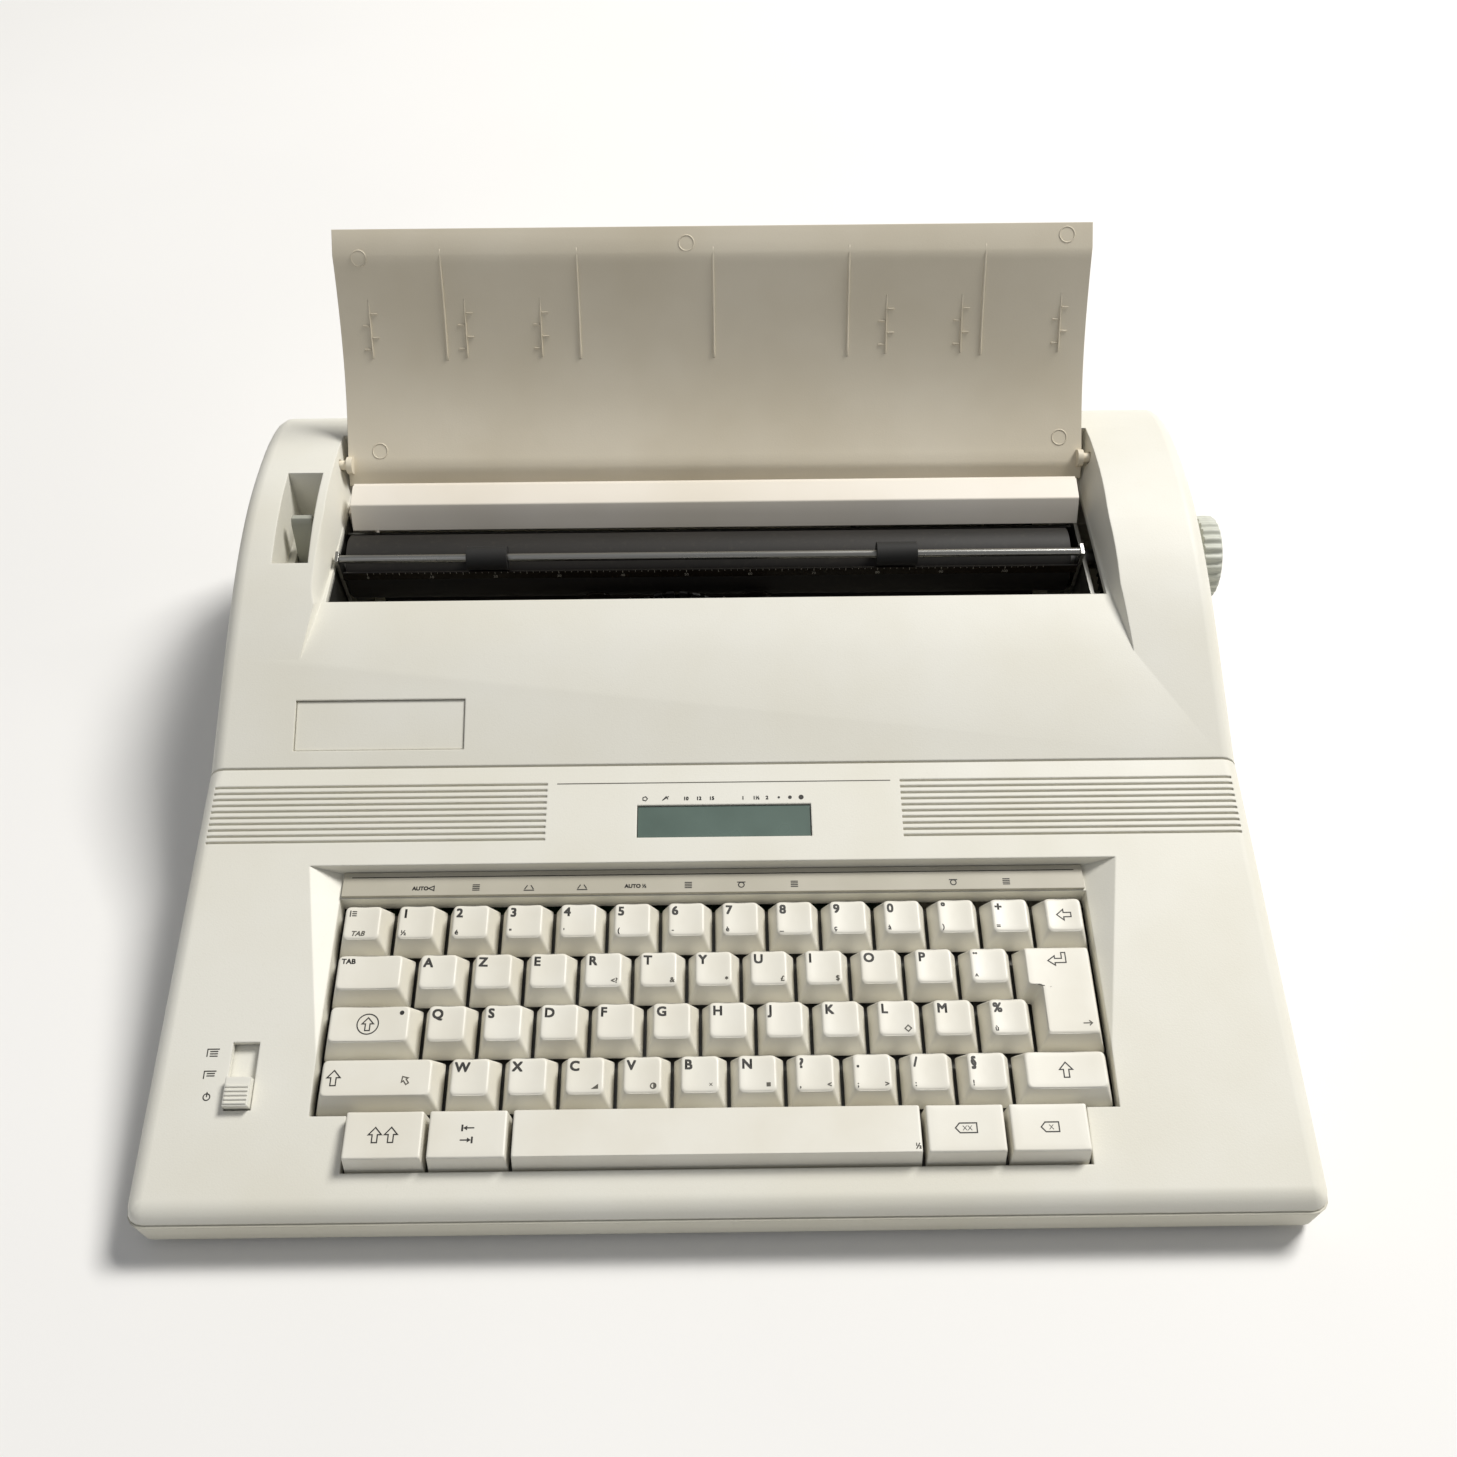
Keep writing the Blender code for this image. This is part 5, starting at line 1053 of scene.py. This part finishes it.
# ---------------------------------------------------------------- case and its fittings
@dataclass
class Case:
    """The covers, the tray and what is printed or set on them."""

    # How far the display window lies below the deck.
    window_sink: float = 0.7 * MM
    slider_ribs: int = 5
    apron_depth: float = 6.5 * MM
    apron_length: float = 13.0 * MM
    symbol_height: float = 1.4 * MM
    symbol_line: float = 0.35 * MM
    symbol_bold: float = 0.06
    rule_half: float = 61.5 * MM

    # The signs over the display: a share of its width from its middle, and the sign.
    PITCH_SIGNS = ((-0.30, "10"), (-0.225, "12"), (-0.15, "15"), (0.04, "1"), (0.105, "1½"), (0.18, "2"))
    # The dots that follow them: a share of its width, and a radius in millimetres.
    FORCE_DOTS = ((0.32, 0.45), (0.385, 0.7), (0.45, 0.95))

    def build(self) -> None:
        """Dresses the covers and adds their small details."""
        dress_node("keyboard_cover", CASE_ABS, rounded=True, smooth_degrees=25)
        dress_node("rear_hood", CASE_ABS, rounded=True, smooth_degrees=25)
        dress_node("base_tray", TRAY_ABS, rounded=True)
        dress_node("nameplate_badge", CASE_ABS)
        dress_node("display_window", DISPLAY_CELL)
        dress_node("display_module", BLACK_NYLON)
        dress_node("function_strip", STRIP_ABS)
        dress_node("power_slider", CASE_ABS)
        for foot in ("front_left", "front_right", "rear_left", "rear_right"):
            dress_node(f"foot_{foot}", ROLLER_RUBBER, rounded=True)
        axis = joint("power_slide")["axis"]
        deck = self._plane_through("display_window", math.atan2(axis[2], axis[1]), self.window_sink)
        self._print_deck(deck)
        self._rib_slider(deck)
        self._build_apron(deck)
        self._print_strip()

    def _plane_through(self, node: str, tilt: float, above: float) -> Plane:
        """Returns a plane at a tilt, a little above the middle of a node's upper face."""
        plane = Plane(np.zeros(3), tilt)
        flat = plane.flat(node_points(node))
        middle = (flat.min(0) + flat.max(0)) / 2
        plane.origin = plane.at(middle[0], middle[1], flat[:, 2].max() + above)
        return plane

    def _print_deck(self, deck: Plane) -> None:
        """Prints the signs over the display and the rule above it."""
        flat = deck.flat(node_points("display_window"))
        width, depth = np.ptp(flat[:, 0]), np.ptp(flat[:, 1])
        sheet = PrintSheet(deck, lift=0.08 * MM)
        base = depth / 2 + 2.2 * MM
        middle = base + 0.7 * MM
        for share, words in self.PITCH_SIGNS:
            sheet.text(words, share * width + 4 * MM, base, self.symbol_height, bold=self.symbol_bold)
        sheet.stroke(round_points(-0.46 * width, middle, 0.9 * MM, 5), self.symbol_line, closed=True)
        x = -0.34 * width
        sheet.stroke(around(x, base, ((-1.2, 0.0), (1.2, 1.6))), self.symbol_line)
        sheet.stroke(around(x, base, ((-0.9, 0.2), (0.2, 1.5), (0.9, 0.4))), self.symbol_line)
        for share, radius in self.FORCE_DOTS:
            sheet.disc(share * width, middle, radius * MM)
        sheet.put("display_signs", PRINT_INK, "machine")
        rule = PrintSheet(deck, lift=0.04 * MM)
        v = depth / 2 + 9.4 * MM
        rule.stroke([(-self.rule_half, v), (self.rule_half, v)], 0.4 * MM)
        rule.put("deck_rule", PALE_INK, "machine")

    def _rib_slider(self, deck: Plane) -> None:
        """Raises finger ribs across the slider's front half and prints three signs beside its slot."""
        flat = deck.flat(node_points("power_slider"))
        top = flat[:, 2].max()
        grip = flat[np.abs(flat[:, 2] - top) < 0.1 * MM]
        left, right = grip[:, 0].min(), grip[:, 0].max()
        front, back = grip[:, 1].min(), grip[:, 1].max()
        turn = np.linspace(0, math.pi, 7)
        radius = 0.45 * MM
        ribs = []
        for i in range(self.slider_ribs):
            v = front + (i + 0.7) * (back - front) * 0.72 / self.slider_ribs
            arc_v, arc_h = v + radius * np.cos(turn), top + radius * np.sin(turn)
            rings = np.array([deck.at(x, arc_v, arc_h) for x in (left + 0.5 * MM, right - 0.5 * MM)])
            ribs.append(ring_shape(rings))
        put("slider_ribs", Shape.joined(ribs), CASE_ABS, "power_slider")
        sheet = PrintSheet(deck, lift=0.06 * MM)
        x = left - 6.5 * MM
        width = 0.38 * MM
        for step, v in enumerate((front + 19 * MM, front + 11.5 * MM, front + 4 * MM)):
            if step == 2:
                sheet.circle(x, v, 1.1 * MM, width)
                sheet.stroke([(x, v), (x, v + 1.7 * MM)], width)
                continue
            sheet.stroke(around(x, v, ((-2.0, -1.4), (-2.0, 1.2), (2.0, 1.2))), width)
            for line in range(3 - step):
                height = v + (0.4 - 0.8 * line) * MM
                sheet.stroke([(x - 1.1 * MM, height), (x + 1.6 * MM, height)], width)
        sheet.put("slider_signs", PRINT_INK, "machine")

    def _build_apron(self, deck: Plane) -> None:
        """A tongue behind the slider's grip, under the deck, that covers the slot behind the grip."""
        flat = deck.flat(node_points("power_slider"))
        top = flat[:, 2].max()
        grip = flat[np.abs(flat[:, 2] - top) < 0.1 * MM]
        left, right, back = grip[:, 0].min(), grip[:, 0].max(), grip[:, 1].max()
        high = top - self.apron_depth
        v = np.array([back - 1.0 * MM, back + self.apron_length])
        low, side = high - 0.8 * MM, 1.5 * MM
        profile = [(left - side, low), (right + side, low), (right + side, high), (left - side, high)]
        rings = np.array([[deck.at(x, step, h) for x, h in profile] for step in v])
        put("slider_apron", ring_shape(rings[:, ::-1]), CASE_ABS, "power_slider")

    def _print_strip(self) -> None:
        """Prints the function strip: a rule along its top and a small sign over most number keys."""
        axis = joint("number_row_keys_press")["axis"]
        strip = self._plane_through("function_strip", math.atan2(-axis[1], axis[2]), 0.0)
        keys = strip.flat(node_points("number_row_keys"))
        left, right = keys[:, 0].min(), keys[:, 0].max()
        pitch = (right - left + KEY_GAP) / len(Keyboard.NUMBER_ROW)
        half_width = np.ptp(strip.flat(node_points("function_strip"))[:, 0]) / 2
        sheet = PrintSheet(strip, lift=0.05 * MM)
        sheet.stroke([(-half_width + 3 * MM, 2.7 * MM), (half_width - 3 * MM, 2.7 * MM)], 0.35 * MM)
        line = 0.4 * MM
        for place in (1, 2, 3, 4, 5, 6, 7, 8, 11, 12):
            x = left + (place + 0.5) * pitch
            v = -1.9 * MM
            if place in (1, 5):
                sheet.text("AUTO", x - 3.8 * MM, v - 0.7 * MM, 1.5 * MM, bold=0.06)
                if place == 5:
                    sheet.text("½", x + 2.4 * MM, v - 0.7 * MM, 1.5 * MM, bold=0.06)
                else:
                    sheet.stroke(around(x, v, ((2.0, 0.0), (4.0, 0.9), (4.0, -0.9))), line, closed=True)
            elif place in (3, 4):
                for side in (-1, 1):
                    sheet.stroke(around(x, v, ((side * 1.6, -0.8), (side * 0.6, 0.8))), line)
                sheet.stroke([(x - 1.9 * MM, v - 1.2 * MM), (x + 1.9 * MM, v - 1.2 * MM)], line)
            elif place in (7, 11):
                sheet.circle(x, v, 1.0 * MM, line)
                sheet.stroke([(x - 1.5 * MM, v + 1.1 * MM), (x + 1.5 * MM, v + 1.1 * MM)], line)
            else:
                for step in (-0.9, -0.2, 0.5, 1.2):
                    sheet.stroke([(x - 1.3 * MM, v + step * MM), (x + 1.3 * MM, v + step * MM)], line)
        sheet.put("strip_signs", PRINT_INK, "machine")


# ---------------------------------------------------------------- support lid
@dataclass
class SupportLid:
    """The open lid's inner face: five paper ribs, ejector marks and raised paper-size marks."""

    rib_pitch: float = 54.4 * MM
    rib_width: float = 1.0 * MM
    rib_height: float = 0.7 * MM
    # Each rib runs out over this length, so that the closed lid clears the ledge it lands on.
    rib_run_out: float = 9.0 * MM
    # Millimetres from the lid's middle; a ring also has its share of the way up.
    mark_places: tuple[float, ...] = (-139.0, -100.5, -70.0, 70.0, 100.5, 140.5)
    ring_places: tuple[tuple[float, float], ...] = (
        (-141, 0.88), (-10.5, 0.93), (141, 0.95), (-138, 0.06), (142, 0.09),
    )

    def __post_init__(self) -> None:
        """Finds the inner face: the lid's front outline, as distance up its chord against height off it."""
        low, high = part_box("paper_support_lid")
        points = node_points("paper_support_lid")
        hinge = joint("lid_hinge")["pos_m"]
        tip = points[points[:, 2] > high.z - 0.5 * MM].mean(0)
        self.middle = (low.x + high.x) / 2
        self.length = math.hypot(tip[1] - hinge[1], tip[2] - hinge[2])
        lean = math.atan2(tip[2] - hinge[2], tip[1] - hinge[1])
        self.plane = Plane(np.array([self.middle, hinge[1], hinge[2]]), lean)
        self._probe()

    def _probe(self) -> None:
        """Measures the inner face by casting rays at it from the front, at even steps up the chord."""
        mesh = frame["nodes"]["paper_support_lid"]
        steps = np.linspace(0.03, 0.985, 60) * self.length
        found_v, found_h = [], []
        away = Vector(self.plane.at(0.0, 0.0, 1.0) - self.plane.origin)
        for v in steps:
            start = Vector(self.plane.at(0.013, v, 60 * MM))
            hit, place, _, _ = mesh.ray_cast(start, -away)
            if hit:
                flat = self.plane.flat(np.array([place]))[0]
                found_v.append(flat[1])
                found_h.append(flat[2])
        self.curve = np.array([found_v, found_h])

    def relief(self, x: Array, v: Array) -> Array:
        """The inner face's height off the chord, read between the measured steps."""
        return np.interp(v, self.curve[0], self.curve[1]) + 0 * x

    def build(self) -> None:
        """Dresses the lid and raises its details."""
        dress_node("paper_support_lid", LID_ABS, rounded=True, smooth_degrees=25)
        ribs = [self._rib(i * self.rib_pitch, 0.45, 0.915, self.rib_width) for i in range(-2, 3)]
        for place in self.mark_places:
            ribs.append(self._rib(place * MM, 0.46, 0.71, 0.7 * MM))
            for step, share in enumerate((0.50, 0.55, 0.60, 0.65)):
                side = 1 if step % 2 else -1
                ribs.append(self._tick(place * MM + side * 1.8 * MM, share * self.length, 2.6 * MM))
        for x, share in self.ring_places:
            ribs.append(self._ring(x * MM, share * self.length, 3.0 * MM))
        put("lid_relief", Shape.joined(ribs), LID_ABS, "lid")

    def _rib(self, x: float, low: float, high: float, width: float) -> Shape:
        """A rounded rib up the face: half a circle's arc across, carried along the relief."""
        v = np.linspace(low, high, 24) * self.length
        turn = np.linspace(0, math.pi, 7)
        across = x + width / 2 * np.cos(turn)
        lift = self.rib_height * np.sin(turn)
        fade = np.clip(np.minimum((v - v[0]) / (1.5 * MM), (v[-1] - v) / self.rib_run_out), 0.05, 1)
        height = self.relief(v, v)[:, None] + lift[None, :] * fade[:, None] - 0.02 * MM
        rings = self.plane.at(across[None, :], v[:, None], height)
        return ring_shape(rings[:, ::-1])

    def _tick(self, x: float, v: float, width: float) -> Shape:
        """A short raised bar across the face."""
        turn = np.linspace(0, math.pi, 6)
        rows = v + 0.35 * MM * np.cos(turn)
        height = self.relief(rows, rows) + 0.45 * MM * np.sin(turn) - 0.02 * MM
        rings = np.array([self.plane.at(place, rows, height) for place in (x - width / 2, x + width / 2)])
        return ring_shape(rings)

    def _ring(self, x: float, v: float, radius: float) -> Shape:
        """A shallow raised ring: a small arc carried round a circle that lies on the relief."""
        turn = np.linspace(0, 2 * math.pi, 33)
        arc = np.linspace(0, math.pi, 5)
        reach = radius + 0.3 * MM * np.cos(arc)[None, :]
        across = x + reach * np.cos(turn)[:, None]
        up = v + reach * np.sin(turn)[:, None]
        height = self.relief(up, up) + 0.25 * MM * np.sin(arc)[None, :] - 0.02 * MM
        rings = self.plane.at(across, up, height)
        return ring_shape(rings[::-1], close_ends=False)


# ---------------------------------------------------------------- platen, bail and paper path
@dataclass
class PaperPath:
    """The platen with its knob, the bail, the guide bar and the frames that hold them."""

    knob_ribs: int = 26
    knob_rib_depth: float = 0.9 * MM
    scale_step: float = 2.54 * MM

    def build(self) -> None:
        """Dresses the parts and builds the knob and the printed scale."""
        dress_node("platen_roller", PLATEN_RUBBER, rounded=True)
        dress_node("platen_shaft", DRAWN_STEEL, rounded=True)
        dress_node("platen_gear", BLACK_NYLON)
        dress_node("feed_pinion", BLACK_NYLON)
        dress_node("pressure_roller", ROLLER_RUBBER, rounded=True)
        dress_node("paper_pan", PLATED_SHEET, rounded=True)
        dress_node("paper_guide_bar", BAR_ABS, rounded=True)
        dress_node("paper_release_lever", LEVER_ABS, rounded=True)
        dress_node("bail_frame", DRAWN_STEEL, rounded=True)
        dress_node("bail_scale", SMOKED_ACRYLIC)
        for side in ("left", "right"):
            dress_node(f"bail_roller_{side}", ROLLER_RUBBER, rounded=True)
            dress_node(f"side_frame_{side}", PLATED_SHEET, rounded=True)
        dress_node("feed_motor", PLATED_SHEET, rounded=True)
        self._build_knob()
        self._print_scale()

    def _build_knob(self) -> None:
        """Turns the knob: radius by a profile along its axis, less a smooth rib wave round it."""
        low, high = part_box("platen_knob")
        axis_y, axis_z = (low.y + high.y) / 2, (low.z + high.z) / 2
        radius = (high.z - low.z) / 2
        length = high.x - low.x
        turn = np.linspace(0, 2 * math.pi, self.knob_ribs * 8, endpoint=False)
        wave = np.clip(np.cos(turn * self.knob_ribs) * 1.6, -1, 1) * 0.5 - 0.5
        # Share of the length, share of the radius, share of the ribs' depth.
        profile = (
            (0.0, 0.30, 0.0), (0.0, 0.90, 0.0), (0.06, 0.985, 1.0), (0.5, 1.0, 1.0), (0.86, 0.99, 1.0),
            (0.96, 0.95, 0.4), (1.0, 0.89, 0.0), (1.0, 0.80, 0.0), (0.93, 0.77, 0.0), (0.93, 0.1, 0.0),
        )
        rings = []
        for along, share, ribbed in profile:
            r = radius * share + wave * self.knob_rib_depth * ribbed
            x = np.full_like(turn, low.x + along * length)
            rings.append(np.stack([x, axis_y + r * np.cos(turn), axis_z + r * np.sin(turn)], -1))
        put(
            "knob_grip",
            ring_shape(np.array(rings)),
            KNOB_ABS,
            "platen",
            replaces=["platen_knob"],
            smooth_degrees=45,
        )

    def _print_scale(self) -> None:
        """Prints a line of pitch ticks, with a number at each tenth, on the bail's scale."""
        low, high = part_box("bail_scale")
        sheet = PrintSheet(Plane(np.array([0.0, low.y, 0.0]), math.radians(90)), lift=0.06 * MM)
        count = int((high.x - low.x - 20 * MM) / self.scale_step)
        start = low.x + 10 * MM
        for i in range(count):
            length = (1.3 if i % 5 == 0 else 0.7) * MM
            x = start + i * self.scale_step
            sheet.stroke([(x, high.z - length), (x, high.z - 0.1 * MM)], 0.2 * MM)
            if i % 10 == 0:
                sheet.text(str(i), x, high.z - 3.1 * MM, 1.3 * MM, centred=True)
        sheet.put("scale_print", LIGHT_INK, "bail")


# ---------------------------------------------------------------- carriage and inner parts
@dataclass
class Mechanism:
    """The print carriage and what drives it, with the boards and the supply behind."""

    def build(self) -> None:
        """Dresses every inner part and marks the card holder."""
        for node in ("carriage_frame", "ribbon_cassette", "print_wheel", "mains_inlet"):
            dress_node(node, BLACK_NYLON, rounded=node == "ribbon_cassette")
        dress_node("card_holder", SMOKED_ACRYLIC)
        for node in ("wheel_motor", "carriage_motor"):
            dress_node(node, PLATED_SHEET, rounded=True)
        for node in ("carriage_rail_front", "carriage_rail_rear", "hammer_pin"):
            dress_node(node, DRAWN_STEEL, rounded=True)
        dress_node("drive_belt", ROLLER_RUBBER, rounded=True)
        for node in ("drive_pulley", "idler_pulley"):
            dress_node(node, LEVER_ABS, rounded=True)
        dress_node("key_frame_plate", PLATED_SHEET)
        dress_node("transformer", PLATED_SHEET, rounded=True)
        for node in ("keyboard_circuit", "main_board"):
            dress_node(node, BOARD_MASK)
        self._mark_holder()

    def _mark_holder(self) -> None:
        """Prints the card holder's alignment signs: a diamond at each side."""
        low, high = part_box("card_holder")
        middle = (low.x + high.x) / 2
        sheet = PrintSheet(Plane(np.array([0.0, low.y, 0.0]), math.radians(90)), lift=0.05 * MM)
        for side in (-1, 1):
            corners = round_points(middle + side * 19 * MM, high.z - 4.5 * MM, 2.0 * MM, 4)
            sheet.stroke(corners, 0.25 * MM, closed=True)
        sheet.put("holder_signs", LIGHT_INK, "carriage")


# ---------------------------------------------------------------- stage
@dataclass
class Studio:
    """A pale floor, a high light from the right and behind, a broad fill and the camera."""

    camera_place: tuple[float, float, float] = (-0.00287, -0.36429, 0.47749)
    camera_turn: tuple[float, float, float] = (41.106, 0.256, -0.63)
    lens: float = 36.45
    floor_size: float = 6.0
    key_place: tuple[float, float, float] = (1.95, 1.45, 3.25)
    key_size: float = 1.2
    key_power: float = 178.0
    fill_place: tuple[float, float, float] = (-0.9, -0.9, 1.3)
    fill_size: float = 1.2
    fill_power: float = 1.5
    sky_strength: float = 0.27

    def build(self) -> None:
        """Sets the floor, the lights and the camera."""
        self._floor()
        self._light("key", self.key_place, self.key_size, self.key_power, "#FFFDF9")
        self._light("fill", self.fill_place, self.fill_size, self.fill_power, "#F2F6FF")
        world = bpy.data.worlds.new("studio_air")
        world.use_nodes = True
        sky = world.node_tree.nodes["Background"]
        sky.inputs["Color"].default_value = linear("#F4F5F7")
        sky.inputs["Strength"].default_value = self.sky_strength
        bpy.context.scene.world = world
        bpy.context.scene.view_settings.view_transform = "Standard"
        self._camera()

    def _floor(self) -> None:
        """A square floor at the height the feet stand on."""
        half = self.floor_size / 2
        corners = [(-half, -half, 0), (half, -half, 0), (half, half, 0), (-half, half, 0)]
        mesh = bpy.data.meshes.new("studio_floor")
        mesh.from_pydata(corners, [], [(0, 1, 2, 3)])
        mesh.materials.append(STUDIO_FLOOR.material())
        floor = bpy.data.objects.new("studio_floor", mesh)
        bpy.context.scene.collection.objects.link(floor)

    def _light(self, name: str, place: Sequence[float], size: float, power: float, colour: str) -> None:
        """Adds a square light that looks at the machine's middle."""
        data = bpy.data.lights.new(name, "AREA")
        data.size = size
        data.energy = power
        data.color = linear(colour)[:3]
        light = bpy.data.objects.new(name, data)
        light.location = place
        light.rotation_euler = (Vector((0, 0, 0.05)) - Vector(place)).to_track_quat("-Z", "Y").to_euler()
        bpy.context.scene.collection.objects.link(light)

    def _camera(self) -> None:
        """Puts the camera in front and above, as one stands over a desk."""
        data = bpy.data.cameras.new("camera")
        data.lens = self.lens
        data.sensor_width = 36.0
        camera = bpy.data.objects.new("camera", data)
        camera.location = self.camera_place
        camera.rotation_euler = Euler([math.radians(a) for a in self.camera_turn], "XYZ")
        bpy.context.scene.collection.objects.link(camera)
        bpy.context.scene.camera = camera


def main() -> None:
    """Builds the sub-assemblies in order."""
    logging.basicConfig(level=logging.INFO, format="%(name)s %(message)s")
    for assembly in (Case(), Keyboard(), SupportLid(), PaperPath(), Mechanism(), Studio()):
        LOG.info("building %s", type(assembly).__name__)
        assembly.build()
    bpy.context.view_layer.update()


if __name__ == "__main__":
    main()
